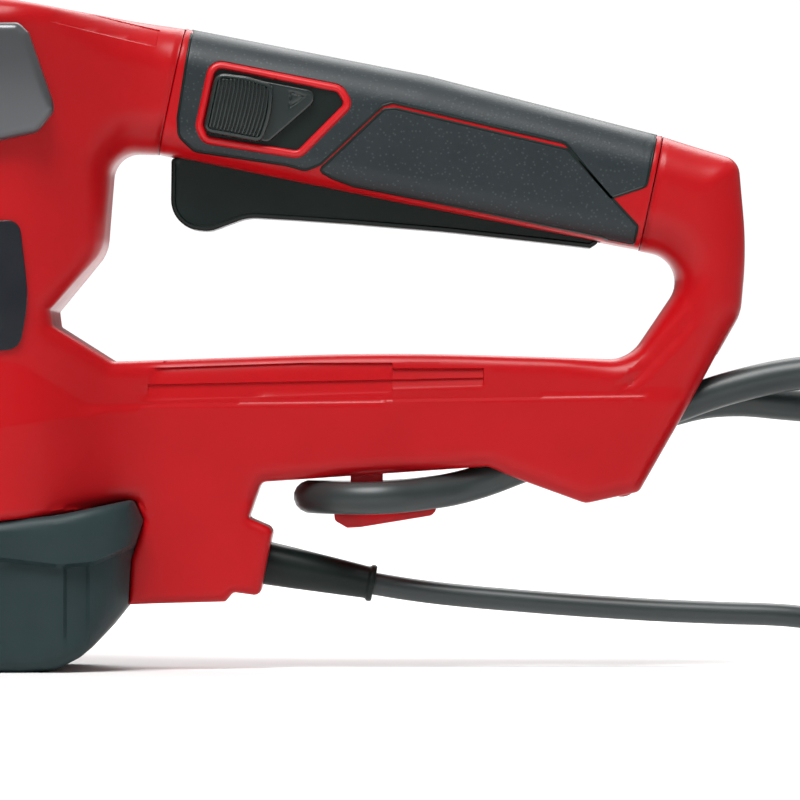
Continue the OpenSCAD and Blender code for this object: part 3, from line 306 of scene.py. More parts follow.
def circle_drop(distance: np.ndarray, radius: np.ndarray | float) -> np.ndarray:
    """How far a round edge of some radius has dropped at a distance from the edge.

    Args:
        distance: How far in from the edge, in millimetres.
        radius: The edge's radius, in millimetres.

    Returns:
        The drop, in millimetres: the radius at the edge, and 0 past the radius.
    """
    left = np.clip(radius - np.maximum(distance, 0), 0, None)
    return radius - np.sqrt(np.clip(radius * radius - left * left, 0, None))


def step(value: np.ndarray, low: float, high: float) -> np.ndarray:
    """A smooth step from 0 at low to 1 at high."""
    t = np.clip((value - low) / (high - low), 0, 1)
    return t * t * (3 - 2 * t)


@dataclass
class Outline:
    """A closed outline in a vertical plane, drawn from corners of [along, up, radius] in millimetres."""

    corners: Sequence[Corner]
    pitch: float = 3.0

    def _shifted(self, depth: float) -> list[Vector]:
        """The corners, without their radii, moved in by depth."""
        points = [Vector(c[:2]) for c in self.corners]
        area = sum(a.x * b.y - b.x * a.y for a, b in zip(points, points[1:] + points[:1]))
        way = 1 if area > 0 else -1
        moved = []
        for i, point in enumerate(points):
            before = (point - points[i - 1]).normalized()
            after = (points[(i + 1) % len(points)] - point).normalized()
            m = Vector((-before.y, before.x))
            k = Vector((-after.y, after.x))
            moved.append(point + (m + k) * (way * depth / (1 + m.dot(k))))
        return moved

    def ring(self, depth: float = 0.0) -> list[Vector]:
        """The outline moved in by a depth, with as many points as at depth 0.

        Args:
            depth: How far in, in millimetres.

        Returns:
            The points along the outline.
        """
        base = self._shifted(0.0)
        moved = self._shifted(depth)
        count = len(base)
        area = sum(a.x * b.y - b.x * a.y for a, b in zip(base, base[1:] + base[:1]))
        arcs: list[tuple[list[Vector], list[Vector]]] = []
        for i in range(count):
            radius = self.corners[i][2]
            before, after = base[i - 1], base[(i + 1) % count]
            a, b = (before - base[i]).normalized(), (after - base[i]).normalized()
            outward = (a.x * b.y - a.y * b.x) * area < 0
            inner = max(0.0, radius - depth if outward else radius + depth) if radius else 0.0
            arcs.append((self._arc(base[i], a, b, radius, radius), self._arc(moved[i], a, b, inner, radius)))
        points: list[Vector] = []
        for i, (plain, arc) in enumerate(arcs):
            points += arc
            nxt_plain, nxt = arcs[(i + 1) % count]
            gaps = int((nxt_plain[0] - plain[-1]).length / self.pitch)
            points += [arc[-1].lerp(nxt[0], (g + 1) / (gaps + 1)) for g in range(gaps)]
        return points

    @staticmethod
    def _arc(corner: Vector, a: Vector, b: Vector, radius: float, full: float) -> list[Vector]:
        """The points of one rounded corner; full is the radius that sets how many there are."""
        if full <= 0:
            return [corner.copy()]
        half = math.acos(max(-1.0, min(1.0, a.dot(b)))) / 2
        turn = math.pi - 2 * half
        steps = max(2, min(20, math.ceil(turn * full / 1.2)))
        if radius <= 0:
            return [corner.copy() for _ in range(steps + 1)]
        middle = corner + (a + b).normalized() * radius / math.sin(half)
        start = corner + a * radius / math.tan(half) - middle
        sign = 1 if a.x * b.y - a.y * b.x < 0 else -1
        return [middle + Matrix.Rotation(sign * turn * k / steps, 2) @ start for k in range(steps + 1)]


def skin(outline: Outline, half_width: HalfWidth, pitch: float,
         depths: Sequence[float] = (0, 0.2, 0.5, 1.0, 1.7),
         scores: Sequence[tuple[Pair, Pair]] = ()) -> bmesh.types.BMesh:
    """A surface over an outline, at a half width that varies, on the -Y side, in millimetres.

    Args:
        outline: The outline that it fills.
        half_width: Gives the half width from the positions along and up.
        pitch: The spacing of its grid.
        depths: How far in the rings along its edge lie.
        scores: Lines along which it is cut, so that a crease is crisp there.

    Returns:
        The mesh, open at its edge.
    """
    bm = bmesh.new()
    rings = []
    for depth in depths:
        rings.append(ring_through(bm, [(p.x, 0, p.y) for p in outline.ring(depth)]))
    for outer, inner in zip(rings, rings[1:]):
        bmesh.ops.bridge_loops(bm, edges=outer + inner)
    bmesh.ops.contextual_create(bm, geom=rings[-1])
    bmesh.ops.remove_doubles(bm, verts=bm.verts, dist=0.001)
    xs = [v.co.x for v in bm.verts]
    zs = [v.co.z for v in bm.verts]
    inner_faces = [max(bm.faces, key=lambda f: len(f.verts))]
    cuts = [(Vector((x, 0, 0)), Vector((1, 0, 0))) for x in np.arange(min(xs) + pitch / 2, max(xs), pitch)]
    cuts += [(Vector((0, 0, z)), Vector((0, 0, 1))) for z in np.arange(min(zs) + pitch / 2, max(zs), pitch)]
    for place, normal in cuts:
        done = bmesh.ops.bisect_plane(bm, geom=with_bounds(inner_faces), plane_co=place, plane_no=normal,
                                      dist=1e-5)
        inner_faces = [g for g in done["geom"] if isinstance(g, bmesh.types.BMFace)]
    for first, last in scores:
        a, b = Vector((first[0], 0, first[1])), Vector((last[0], 0, last[1]))
        along = (b - a).normalized()
        reach = (b - a).length
        near = [f for f in bm.faces
                if -pitch < (f.calc_center_median() - a).dot(along) < reach + pitch
                and abs((f.calc_center_median() - a).cross(along).y) < 2 * pitch]
        bmesh.ops.bisect_plane(bm, geom=with_bounds(near), plane_co=a,
                               plane_no=Vector((-along.z, 0, along.x)),
                               dist=1e-4)
    verts = list(bm.verts)
    width = half_width(np.array([v.co.x for v in verts]), np.array([v.co.z for v in verts]))
    for vert, w in zip(verts, width):
        vert.co.y = -float(w)
    return bm


def wall_in(bm: bmesh.types.BMesh, to: float = 0.0, edges: Optional[list[bmesh.types.BMEdge]] = None) -> None:
    """Draws the open edge of a skin in to a plane of constant y, as a wall.

    Args:
        bm: The skin.
        to: The plane's y, in millimetres.
        edges: The part of the open edge that is drawn in, or None for all of it.
    """
    if edges is None:
        edges = [e for e in bm.edges if e.is_boundary]
    for vert in new_verts(bmesh.ops.extrude_edge_only(bm, edges=edges)):
        vert.co.y = to


def cap(bm: bmesh.types.BMesh) -> None:
    """Closes a mesh's open edge with one face."""
    bmesh.ops.contextual_create(bm, geom=[e for e in bm.edges if e.is_boundary])


def flip_y(bm: bmesh.types.BMesh) -> bmesh.types.BMesh:
    """Turns a mesh into its own mirror image across y = 0, and returns it."""
    bmesh.ops.scale(bm, vec=(1, -1, 1), verts=bm.verts)
    bmesh.ops.reverse_faces(bm, faces=bm.faces)
    return bm


def faced(bm: bmesh.types.BMesh) -> bmesh.types.BMesh:
    """Turns the faces of a skin on the -Y side outwards, and returns it."""
    bmesh.ops.recalc_face_normals(bm, faces=bm.faces)
    if sum(f.normal.y * f.calc_area() for f in bm.faces if f.calc_center_median().y < 0) > 0:
        bmesh.ops.reverse_faces(bm, faces=bm.faces)
    return bm


def mirror_y(bm: bmesh.types.BMesh) -> None:
    """Adds the other half, and joins the two where they meet at y = 0."""
    bmesh.ops.mirror(bm, geom=bm.verts[:] + bm.edges[:] + bm.faces[:], axis="Y", merge_dist=0.01)
    bmesh.ops.recalc_face_normals(bm, faces=bm.faces)


def prism(corners: Sequence[Corner], y0: float, y1: float) -> bmesh.types.BMesh:
    """A straight prism over an outline, between two values of y, in millimetres."""
    bm = bmesh.new()
    face = bm.faces.new([bm.verts.new((x, y0, z)) for x, z in corner_points(corners)])
    out = bmesh.ops.extrude_face_region(bm, geom=[face])
    bmesh.ops.translate(bm, vec=(0, y1 - y0, 0), verts=new_verts(out))
    bmesh.ops.recalc_face_normals(bm, faces=bm.faces)
    return bm


def rod(radius: float, length: float, sides: int = 48) -> bmesh.types.BMesh:
    """A cylinder from the origin along +X, in millimetres."""
    bm = bmesh.new()
    bmesh.ops.create_cone(bm, cap_ends=True, segments=sides, radius1=radius, radius2=radius, depth=length,
                          matrix=Matrix.Rotation(QUARTER, 4, "Y") @ Matrix.Translation((0, 0, length / 2)))
    return bm


def block(centre: Triple, size: Triple) -> bmesh.types.BMesh:
    """A box of some size about a centre, in millimetres."""
    bm = bmesh.new()
    bmesh.ops.create_cube(bm, size=1, matrix=Matrix.Translation(centre) @ Matrix.Diagonal((*size, 1)))
    return bm


def screw_rod(radius: float, length: float, sides: int, where: Triple, frame: Matrix) -> bmesh.types.BMesh:
    """A cylinder from a place of some frame along +Y, in millimetres."""
    return place(rod(radius, length, sides), frame @ Matrix.Translation(where) @ Matrix.Rotation(QUARTER, 4, "Z"))


def join(*parts: bmesh.types.BMesh) -> bmesh.types.BMesh:
    """One mesh out of several, which are used up."""
    whole = parts[0]
    for part in parts[1:]:
        mesh = bpy.data.meshes.new("part")
        part.to_mesh(mesh)
        part.free()
        whole.from_mesh(mesh)
        bpy.data.meshes.remove(mesh)
    return whole


def round_edges(bm: bmesh.types.BMesh, radius: float, segments: int = 3, angle: float = 35.0) -> None:
    """Rounds every edge that is sharper than an angle, in degrees."""
    edges = [e for e in bm.edges if e.is_manifold and e.calc_face_angle(0.0) > math.radians(angle)]
    bmesh.ops.bevel(bm, geom=edges, offset=radius, affect="EDGES", segments=segments, profile=0.5,
                    material=-1,
                    clamp_overlap=True)


def place(bm: bmesh.types.BMesh, where: Matrix) -> bmesh.types.BMesh:
    """Moves a mesh by a matrix in millimetres, and returns it."""
    bmesh.ops.transform(bm, matrix=where, verts=bm.verts)
    return bm


def piece(name: str, bm: bmesh.types.BMesh, finish: Finish, sharp: float = SMOOTH_ANGLE) -> bpy.types.Object:
    """Turns a mesh in millimetres into an object in metres with a finish.

    Args:
        name: The piece's name.
        bm: Its mesh, which is used up.
        finish: Its finish.
        sharp: The angle in degrees past which an edge isn't smoothed.

    Returns:
        The object, at the origin.
    """
    bmesh.ops.scale(bm, vec=(MM, MM, MM), verts=bm.verts)
    mesh = bpy.data.meshes.new(name)
    bm.to_mesh(mesh)
    bm.free()
    mesh.shade_smooth()
    mesh.set_sharp_from_angle(angle=math.radians(sharp))
    mesh.materials.append(finish.material())
    made = bpy.data.objects.new(name, mesh)
    bpy.context.scene.collection.objects.link(made)
    return made


def thicken(made: bpy.types.Object, wall: float) -> None:
    """Gives a skin its wall, in millimetres, inwards."""
    modifier = made.modifiers.new("wall", "SOLIDIFY")
    modifier.thickness = wall * MM
    modifier.offset = -1.0


def pipe(name: str, points: Sequence[Triple], radius: float, scale: float = 1.0) -> bpy.types.Curve:
    """A round curve of one open spline through some points.

    Args:
        name: The curve's name.
        points: What it passes through.
        radius: Its radius, in the points' unit.
        scale: What the points and the radius are multiplied by.

    Returns:
        The curve.
    """
    curve = bpy.data.curves.new(name, "CURVE")
    curve.dimensions = "3D"
    curve.bevel_depth = radius * scale
    curve.bevel_resolution = 6
    curve.resolution_u = 5
    curve.use_fill_caps = True
    spline = curve.splines.new("BEZIER")
    spline.bezier_points.add(len(points) - 1)
    for knot, point in zip(spline.bezier_points, points):
        knot.co = Vector(point) * scale
        knot.handle_left_type = knot.handle_right_type = "AUTO"
    return curve


def length_of(points: Sequence[Triple]) -> float:
    """The length of a line through points in millimetres, in metres."""
    return sum((Vector(b) - Vector(a)).length for a, b in zip(points, points[1:])) * MM


def reach(mesh: bpy.types.Mesh) -> tuple[np.ndarray, np.ndarray]:
    """The lowest and highest corner of a mesh, in metres."""
    if not len(mesh.vertices):
        return np.full(3, 9.0), np.full(3, -9.0)
    places = np.empty(len(mesh.vertices) * 3)
    mesh.vertices.foreach_get("co", places)
    return places.reshape(-1, 3).min(0), places.reshape(-1, 3).max(0)


def evaluated(target: bpy.types.Object) -> bpy.types.Mesh:
    """A new mesh of what a piece is with its modifiers."""
    graph = bpy.context.evaluated_depsgraph_get()
    return bpy.data.meshes.new_from_object(target.evaluated_get(graph), depsgraph=graph)


def carved(target: bpy.types.Object, modifier: bpy.types.Modifier) -> bpy.types.Mesh:
    """What a boolean leaves of a piece, by the first solver whose result is sound.

    A sound result reaches no further than the piece did, and keeps a fair share of its corners. If no solver
    gives one, the piece is left as it was.

    Args:
        target: The piece that is cut.
        modifier: Its boolean.

    Returns:
        The new mesh.
    """
    low, high = reach(target.data)
    for solver in SOLVERS:
        modifier.solver = solver
        result = evaluated(target)
        new_low, new_high = reach(result)
        if (len(result.vertices) * LEAST_SHARE > len(target.data.vertices)
                and (new_low > low - SOLVER_SLACK).all() and (new_high < high + SOLVER_SLACK).all()):
            return result
        log.info("%s: %s left %d corners", target.name, solver, len(result.vertices))
    modifier.show_viewport = False
    return evaluated(target)


def cut(target: bpy.types.Object, *tools: bmesh.types.BMesh, sharp: float = SMOOTH_ANGLE) -> None:
    """Takes meshes in millimetres away from a piece, one after the other.

    Args:
        target: The piece that is cut.
        tools: The meshes, which are used up.
        sharp: The angle in degrees past which an edge isn't smoothed.
    """
    for tool in tools:
        bmesh.ops.scale(tool, vec=(MM, MM, MM), verts=tool.verts)
        mesh = bpy.data.meshes.new("cutter")
        tool.to_mesh(mesh)
        tool.free()
        cutter = bpy.data.objects.new("cutter", mesh)
        bpy.context.scene.collection.objects.link(cutter)
        modifier = target.modifiers.new("cut", "BOOLEAN")
        modifier.operation = "DIFFERENCE"
        modifier.object = cutter
        result = carved(target, modifier)
        target.modifiers.clear()
        old = target.data
        material = old.materials[0]
        target.data = result
        result.name = target.name
        result.materials.clear()
        result.materials.append(material)
        bpy.data.meshes.remove(old)
        bpy.data.objects.remove(cutter)
        bpy.data.meshes.remove(mesh)
        result.shade_smooth()
        result.set_sharp_from_angle(angle=math.radians(sharp))


def fit(made: bpy.types.Object, body: str, *nodes: str, slot: str = "") -> bpy.types.Object:
    """Rides a piece on a body, and hides the nodes that it stands for."""
    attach(made, body)
    if nodes:
        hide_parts(*nodes)
    log.info("made %s on %s", made.name, body)
    return made


# ---------------------------------------------------------------- studio


@dataclass
class Studio:
    """The floor, the lights, the surroundings and the camera."""

    view_centre: Pair = (164.3, 83.1)
    view_width: float = 248.0
    camera_distance: float = 2200.0
    sensor: float = 36.0
    floor_half: float = 40000.0
    floor_gap: float = 0.05
    seen_strength: float = 1.05
    light_strength: Pair = (0.16, 0.66)

    def camera(self) -> None:
        """Puts the camera level with the tool, at its left side."""
        data = bpy.data.cameras.new("camera")
        data.sensor_width = self.sensor
        data.lens = self.sensor * self.camera_distance / self.view_width
        data.clip_start = 0.05
        data.clip_end = 200
        camera = bpy.data.objects.new("camera", data)
        camera.location = (self.view_centre[0] * MM, -self.camera_distance * MM, self.view_centre[1] * MM)
        camera.rotation_euler = (math.pi / 2, 0, 0)
        bpy.context.scene.collection.objects.link(camera)
        bpy.context.scene.camera = camera
        bpy.context.scene.view_settings.view_transform = "Standard"

    def surroundings(self) -> None:
        """A pale studio that is brighter above than at eye level."""
        world = bpy.data.worlds.new("studio")
        world.use_nodes = True
        tree = world.node_tree
        shade = tree.nodes["Background"]
        where = tree.nodes.new("ShaderNodeTexCoord")
        split = tree.nodes.new("ShaderNodeSeparateXYZ")
        tree.links.new(where.outputs["Generated"], split.inputs["Vector"])
        tree.links.new(map_range(tree, split.outputs["Z"], (0.0, 0.9), self.light_strength),
                       shade.inputs["Strength"])
        plain = tree.nodes.new("ShaderNodeBackground")
        for background in (shade, plain):
            background.inputs["Color"].default_value = (1, 1, 1, 1)
        plain.inputs["Strength"].default_value = self.seen_strength
        path = tree.nodes.new("ShaderNodeLightPath")
        both = tree.nodes.new("ShaderNodeMixShader")
        tree.links.new(path.outputs["Is Camera Ray"], both.inputs["Fac"])
        tree.links.new(shade.outputs["Background"], both.inputs[1])
        tree.links.new(plain.outputs["Background"], both.inputs[2])
        tree.links.new(both.outputs["Shader"], tree.nodes["World Output"].inputs["Surface"])
        bpy.context.scene.world = world

    def lights(self) -> None:
        """A soft key sun from above the tool's left side, a weaker one from behind, and a wide rim light."""
        self.sun("key_sun", 3.4, 32, 60, -16)
        self.sun("back_sun", 1.1, 50, 45, 190)
        self.lamp("rim", (500, 1100, 1300), (150, 0, 100), 900, 8)

    def sun(self, name: str, power: float, spread: float, height: float, turn: float) -> None:
        """Adds a soft sun; spread, height above the horizon and turn from the camera's side are in degrees."""
        data = bpy.data.lights.new(name, "SUN")
        data.energy = power
        data.angle = math.radians(spread)
        sun = bpy.data.objects.new(name, data)
        sun.rotation_euler = (math.radians(90 - height), 0, math.radians(turn))
        bpy.context.scene.collection.objects.link(sun)

    def lamp(self, name: str, at: Triple, aim: Triple, size: float, power: float) -> None:
        """Adds one square light; places and size are in millimetres, power in watts."""
        data = bpy.data.lights.new(name, "AREA")
        data.energy = power
        data.size = size * MM
        lamp = bpy.data.objects.new(name, data)
        lamp.location = Vector(at) * MM
        lamp.rotation_euler = (Vector(aim) - Vector(at)).to_track_quat("-Z", "Y").to_euler()
        bpy.context.scene.collection.objects.link(lamp)

    def floor(self) -> None:
        """A wide pale floor just under the tool's base."""
        bm = bmesh.new()
        bmesh.ops.create_grid(bm, x_segments=8, y_segments=8, size=self.floor_half,
                              matrix=Matrix.Translation((0, 0, -self.floor_gap)))
        piece("floor", bm, PAPER)


# ---------------------------------------------------------------- cords


@dataclass
class CordSet:
    """The supply cord, and the extension lead with its loop, its coil and its two ends."""

    supply_diameter: float = 7.0
    lead_diameter: float = 10.2
    supply_line: Sequence[Triple] = (
        (123, 0, 32.6), (140, 0, 29.35), (156.5, 0, 26.15), (170, 0, 24), (185, 0, 22.3),
        (200, 0, 21.0), (215, 0, 19.8), (230, 0, 18.8), (245, 0, 17.9), (264, 0.3, 17.1), (282.7, 1, 16.4),
        (291, 1.8, 15.6), (300, 3, 15), (310, 4.8, 14.3), (320, 6, 14),
    )
    lead_line: Sequence[Triple] = (
        (398.3, 6, 14), (430, 7, 14), (462, 16, 14), (482, 42, 15), (475, 72, 19), (445, 86, 29),
        (410, 72, 45),
        (370, 44, 61), (330, 20, 73), (300, 8, 80), (282.7, 6, 82), (267.8, 6, 83), (254.2, 6, 81.4),
        (226.3, 6, 71.6),
        (203, 6.6, 62.8), (186, 8.2, 56.8), (171, 15.5, 54), (157, 20.6, 53), (142.6, 14.6, 53),
        (136.4, 0, 53.2),
        (142.6, -14.6, 53), (157, -20.6, 53), (171, -15.5, 54.1), (186, -8.2, 56.9), (203, -6.6, 63),
        (226.3, -6, 71.8), (254.2, -6, 82.8), (267.8, -6, 87.2), (288.3, -6, 91.4), (308, -9, 92.5),
        (326, -18, 90),
        (336, -34, 83), (337, -52, 72), (331, -70, 59), (325.5, -86, 49.5), (324, -100, 46.1),
        (327, -118, 46.1),
    )
    coil_centre: Pair = (385.0, -95.0)
    coil_radii: Triple = (50.8, 61.0, 71.2)
    coil_levels: Sequence[float] = (35.7, 25.5, 15.3, 5.15)
    tail_line: Sequence[Triple] = (
        (400, -177, 5.2), (425, -177.5, 6.5), (450, -179, 9.8), (470, -180, 12),
    )

    def build(self) -> None:
        """Builds both cords and the tie of the coil."""
        lead = self.lead_route()
        length = length_of(lead)
        tie = self.tie()
        cord = self.line("extension_lead", lead, self.lead_diameter)
        fit(cord, "housing", "lead_tube", "lead_coil", slot="cord_rubber")
        tuple(Vector(lead[0]) * MM)
        supply = self.line("supply_flex", self.supply_line, self.supply_diameter)
        short = length_of(self.supply_line)
        fit(supply, "housing", "supply_cord", slot="cord_rubber")
        tuple(Vector(self.supply_line[0]) * MM)
        log.info("lead %.2f m, supply %.2f m", length, short)

    def lead_route(self) -> list[Triple]:
        """The lead's whole centreline: the loop, the coil from its top turn down, and the tail."""
        out, middle, inn = self.coil_radii[2], self.coil_radii[1], self.coil_radii[0]
        top = self.lead_line[-1]
        a0 = math.degrees(math.atan2(top[1] - self.coil_centre[1], top[0] - self.coil_centre[0])) % 360
        r0 = math.hypot(top[1] - self.coil_centre[1], top[0] - self.coil_centre[0])
        z = self.coil_levels
        keys = [(a0, r0, top[2]), (280, out, top[2] + 0.1), (330, out, z[0]), (590, out, z[0]),
                (640, middle, z[0]),
                (950, middle, z[0]), (1000, inn, z[0]), (1260, inn, z[0]), (1310, inn, z[1]),
                (1570, inn, z[1]),
                (1620, middle, z[1]), (1930, middle, z[1]), (1980, out, z[1]), (2240, out, z[1]),
                (2290, out, z[2]),
                (2550, out, z[2]), (2600, middle, z[2]), (2910, middle, z[2]), (2960, inn, z[2]),
                (3220, inn, z[2]),
                (3270, inn, z[3]), (3530, inn, z[3]), (3580, middle, z[3]), (3890, middle, z[3]),
                (3940, out, z[3]),
                (4165, out, z[3]), (4228.6, 82, 5.2)]
        route = list(self.lead_line)
        steps = round((keys[-1][0] - keys[0][0]) / 18)
        for i in range(1, steps + 1):
            angle = keys[0][0] + (keys[-1][0] - keys[0][0]) * i / steps
            for (a, ra, za), (b, rb, zb) in zip(keys, keys[1:]):
                if a <= angle <= b + 1e-6:
                    t = (angle - a) / (b - a)
                    t = t * t * (3 - 2 * t)
                    radius, level = ra + (rb - ra) * t, za + (zb - za) * t
                    break
            turn = math.radians(angle)
            route.append((self.coil_centre[0] + radius * math.cos(turn),
                          self.coil_centre[1] + radius * math.sin(turn), level))
        return route + list(self.tail_line)

    def line(self, name: str, points: Sequence[Triple], diameter: float) -> bpy.types.Object:
        """A round cord along points in millimetres, as a curve of one open spline.

        Args:
            name: The cord's name.
            points: What it passes through.
            diameter: Its diameter in millimetres.

        Returns:
            The cord.
        """
        curve = pipe(name, points, diameter / 2, MM)
        curve.materials.append(CORD.material())
        made = bpy.data.objects.new(name, curve)
        bpy.context.scene.collection.objects.link(made)
        return made

    def tie(self) -> bpy.types.Object:
        """A flat strap that holds the coil's turns together."""
        bm = prism([(305.5, -0.2, 3), (343.5, -0.2, 3), (343.5, 41.6, 3), (305.5, 41.6, 3)], -101, -89)
        inner = prism([(307, 0.6, 3), (342, 0.6, 3), (342, 40.9, 3), (307, 40.9, 3)], -110, -80)
        round_edges(bm, 0.3, 2)
        made = piece("coil_tie", bm, BLACK)
        cut(made, inner)
        return fit(made, "housing", slot="black_plastic")


# ---------------------------------------------------------------- the frames of the grip, the boot and the plug


NECK: Pair = (93.8, 178.4)
TILT = math.radians(12.0)
GRIP_LENGTH = 151.5
GRIP_FRAME = Matrix.Translation((NECK[0], 0, NECK[1])) @ Matrix.Rotation(TILT, 4, "Y")
BOOT_FRAME = Matrix.Translation((123, 0, 32.6)) @ Matrix.Rotation(math.radians(10.9), 4, "Y")
PLUG_FRAME = Matrix.Translation((320, 6, 14))


def on_grip(u: float, v: float) -> Pair:
    """The place, along and up, of a point of the grip's own frame, in millimetres."""
    return (NECK[0] + u * math.cos(TILT) + v * math.sin(TILT),
            NECK[1] - u * math.sin(TILT) + v * math.cos(TILT))


def line_distance(x: np.ndarray, z: np.ndarray, points: Sequence[Pair], closed: bool = False) -> np.ndarray:
    """The distance of each place from a line through some points, in millimetres.

    Args:
        x: The places along.
        z: The places up.
        points: The line's points.
        closed: Whether the last point joins the first.

    Returns:
        The distances.
    """
    best = np.full(x.shape, FAR)
    ends = list(points[1:]) + ([points[0]] if closed else [])
    for (ax, az), (bx, bz) in zip(points, ends):
        dx, dz = bx - ax, bz - az
        span = max(dx * dx + dz * dz, 1e-12)
        t = np.clip(((x - ax) * dx + (z - az) * dz) / span, 0, 1)
        best = np.minimum(best, np.hypot(x - ax - t * dx, z - az - t * dz))
    return best


# ---------------------------------------------------------------- housing


@dataclass
class Housing:
    """The two red shells round the motor, the bars, the neck and the post."""

    bar_half: float = 16.5
    body: float = 40.0
    wall: float = 2.4
    seam: float = 0.06
    rear: Pair = (-0.01, -0.2)
    base_line: Sequence[Corner] = (
        (80.8, 20.2, 0), (81.6, 34, 4), (85.4, 46, 1.5), (82.4, 52.6, 2), (60, 48, 60), (0, 42, 60),
        (-80, 40, 0))
    crease: Sequence[Pair] = ((-84, 66), (0, 69), (44, 75), (71, 78.8), (87, 80.8), (160, 82.3), (237, 84))
    ledge_top: Sequence[Pair] = (
        (-84, 84), (0, 88), (44, 94.5), (49, 93.6), (69, 81.2), (87, 81.8), (160, 83.1), (237, 84.7))
    screws: Sequence[Triple] = field(default_factory=lambda: (
        (*on_grip(-14, 11), 16), (*on_grip(GRIP_LENGTH + 14, 9), 16), (262, 125.8, 16), (233, 58.3, 16),
        (106, 74, 19),
        (62, 78, 32.5), (100, 54, 16), (-71, 60, 37), (-56, 160, 37), (0, 199, 37)))

    def post(self, x: float, z: float, radius: float) -> Corner:
        """A corner of the rear post."""
        return (x + self.rear[0], z + self.rear[1], radius)

    def corners(self) -> list[Corner]:
        """The corners of the side outline."""
        post = self.post
        return [
            (*on_grip(0, -19.8), 0), (76, 159.6, 8), (73.2, 129, 12), (57.5, 110.7, 1), (58.1, 106, 1),
            (76, 94.9, 2),
            (160, 97.8, 900), post(235.2, 95.7, 12), post(255.5, 126, 9), (*on_grip(GRIP_LENGTH, -18), 0),
            (*on_grip(GRIP_LENGTH, 18), 0), post(268.9, 157.4, 6), post(271.3, 130, 120),
            post(269.4, 110, 14),
            post(238, 55, 3), post(221.5, 51.4, 4), post(200, 59.2, 10), post(191.5, 62.8, 4),
            (121.6, 57.8, 2),
            (117.7, 46.7, 0.8), (125.3, 43.4, 2.5), (121.2, 22.8, 2), (113, 23.9, 1.5), (110.6, 21, 1),
            *self.base_line, (-84, 95, 40), (-68, 168, 30), (-28, 208, 30), (18, 210, 60), (59.5, 203.2, 60),
            (*on_grip(0, 19.9), 0)]

    def half_width(self, x: np.ndarray, z: np.ndarray) -> np.ndarray:
        """The housing's half width at places along and up, in millimetres."""
        outline = corner_points(self.corners())
        front, back = on_grip(0, 0), on_grip(GRIP_LENGTH, 0)
        first = min(range(len(outline)), key=lambda i: math.dist(outline[i], on_grip(0, 19.9)))
        loop = outline[first + 1:] + outline[:first + 1]
        last = min(range(len(loop)), key=lambda i: math.dist(loop[i], on_grip(GRIP_LENGTH, -18)))
        edge = np.minimum(line_distance(x, z, loop[:last + 1]), line_distance(x, z, loop[last + 1:]))
        swell = 1 - step(x, 44, 92)
        upper = self.bar_half + (self.body - self.bar_half) * swell
        rise = 0.5 + 2.4 * (1 - step(x, 50, 78))
        low = np.interp(x, *zip(*self.crease))
        high = np.interp(x, *zip(*self.ledge_top))
        lower = np.clip((high - z) / np.maximum(high - low, 0.4), 0, 1)
        width = upper + rise * lower
        width -= self.scoop(x, z)
        near = np.minimum(np.hypot(x - front[0], (z - front[1]) * 0.6),
                          np.hypot(x - back[0], (z - back[1]) * 0.6))
        round_seam = 1 - step(near, 14, 44)
        round_body = (1 - step(x, 20, 60)) * step(z, 60, 100)
        radius = 4.2 + 9.0 * round_seam + 8.0 * round_body * (1 - round_seam)
        radius = np.where(z < 50, np.minimum(radius, 2.5), radius)
        width -= circle_drop(edge, np.minimum(radius, width - 2))
        u = (x - NECK[0]) * math.cos(TILT) - (z - NECK[1]) * math.sin(TILT)
        v = (x - NECK[0]) * math.sin(TILT) + (z - NECK[1]) * math.cos(TILT)
        lip = np.where(np.abs(v) < 20.5, np.minimum(np.abs(u + 0.4), np.abs(u - GRIP_LENGTH - 0.4)), 9)
        width -= 0.4 * (1 - step(lip, 0.2, 1.3))
        band = (v > 12.2) & (v < 17.6) & (u < -7.5) & (u > -38)
        width -= 0.55 * band
        chamfer = (x - 231.5) * 0.727 - (z - 90.6) * 0.687
        inside = (x > 226) & (x < 256) & (z > 84) & (z < 122) & (edge < 9)
        width -= np.where(inside, 0.3 * np.clip(3.2 - np.abs(chamfer - 4.6), 0, 3.2), 0)
        return width

    def scoop(self, x: np.ndarray, z: np.ndarray) -> np.ndarray:
        """How deep the two stepped bands in the bar's upper part are."""
        rise = 0.034 * (x - 86.8)
        top = np.where(x < 162, 92.9, 91.2) + np.minimum(rise, 1.6)
        middle = 87.8 + 0.6 * rise
        bottom = np.where(x < 162, 82.9, 83.9) + rise
        upper = np.clip((z - middle) / (top - middle), 0, 1)
        lower = np.clip((z - bottom) / (middle - bottom), 0, 1)
        depth = np.where(z > middle, 0.15 + 0.85 * upper, 0.1 + 0.8 * lower)
        return np.where((x > 86.8 + 0.3 * (z - 88)) & (x < 190) & (z > bottom) & (z < top), depth, 0)

    def scores(self) -> list[tuple[Pair, Pair]]:
        """The lines along which the surface has a crisp change."""
        lines = list(zip(self.crease[2:], self.crease[3:])) + list(zip(self.ledge_top[2:],
                                                                       self.ledge_top[3:]))
        for off in (-0.12, 0.12):
            lines += [((x + off, low), (x + off, high))
                      for x, low, high in ((86.8, 82, 94), (162, 84, 97), (190, 85, 95))]
            lines += [((86, 82.87 + off), (163, 85.49 + off)), ((161, 86.43 + off), (191, 87.44 + off)),
                      ((86, 87.79 + off), (191, 89.93 + off)), ((86, 92.87 + off), (133.9, 94.5 + off)),
                      ((133.9, 94.5 + off), (163, 94.5 + off)), ((161, 92.8 + off), (191, 92.8 + off))]
            lines += [(on_grip(-38, v + off), on_grip(-7, v + off)) for v in (12.2, 17.6)]
            lines.append((on_grip(-7.5 + off, 11), on_grip(-7.5 + off, 18)))
        for off in (1.4, 4.6, 7.8):
            x, z = 231.5 + off * 0.727, 90.6 - off * 0.687
            lines.append(((x - 6, z - 6.4), (x + 19, z + 20.1)))
        return lines

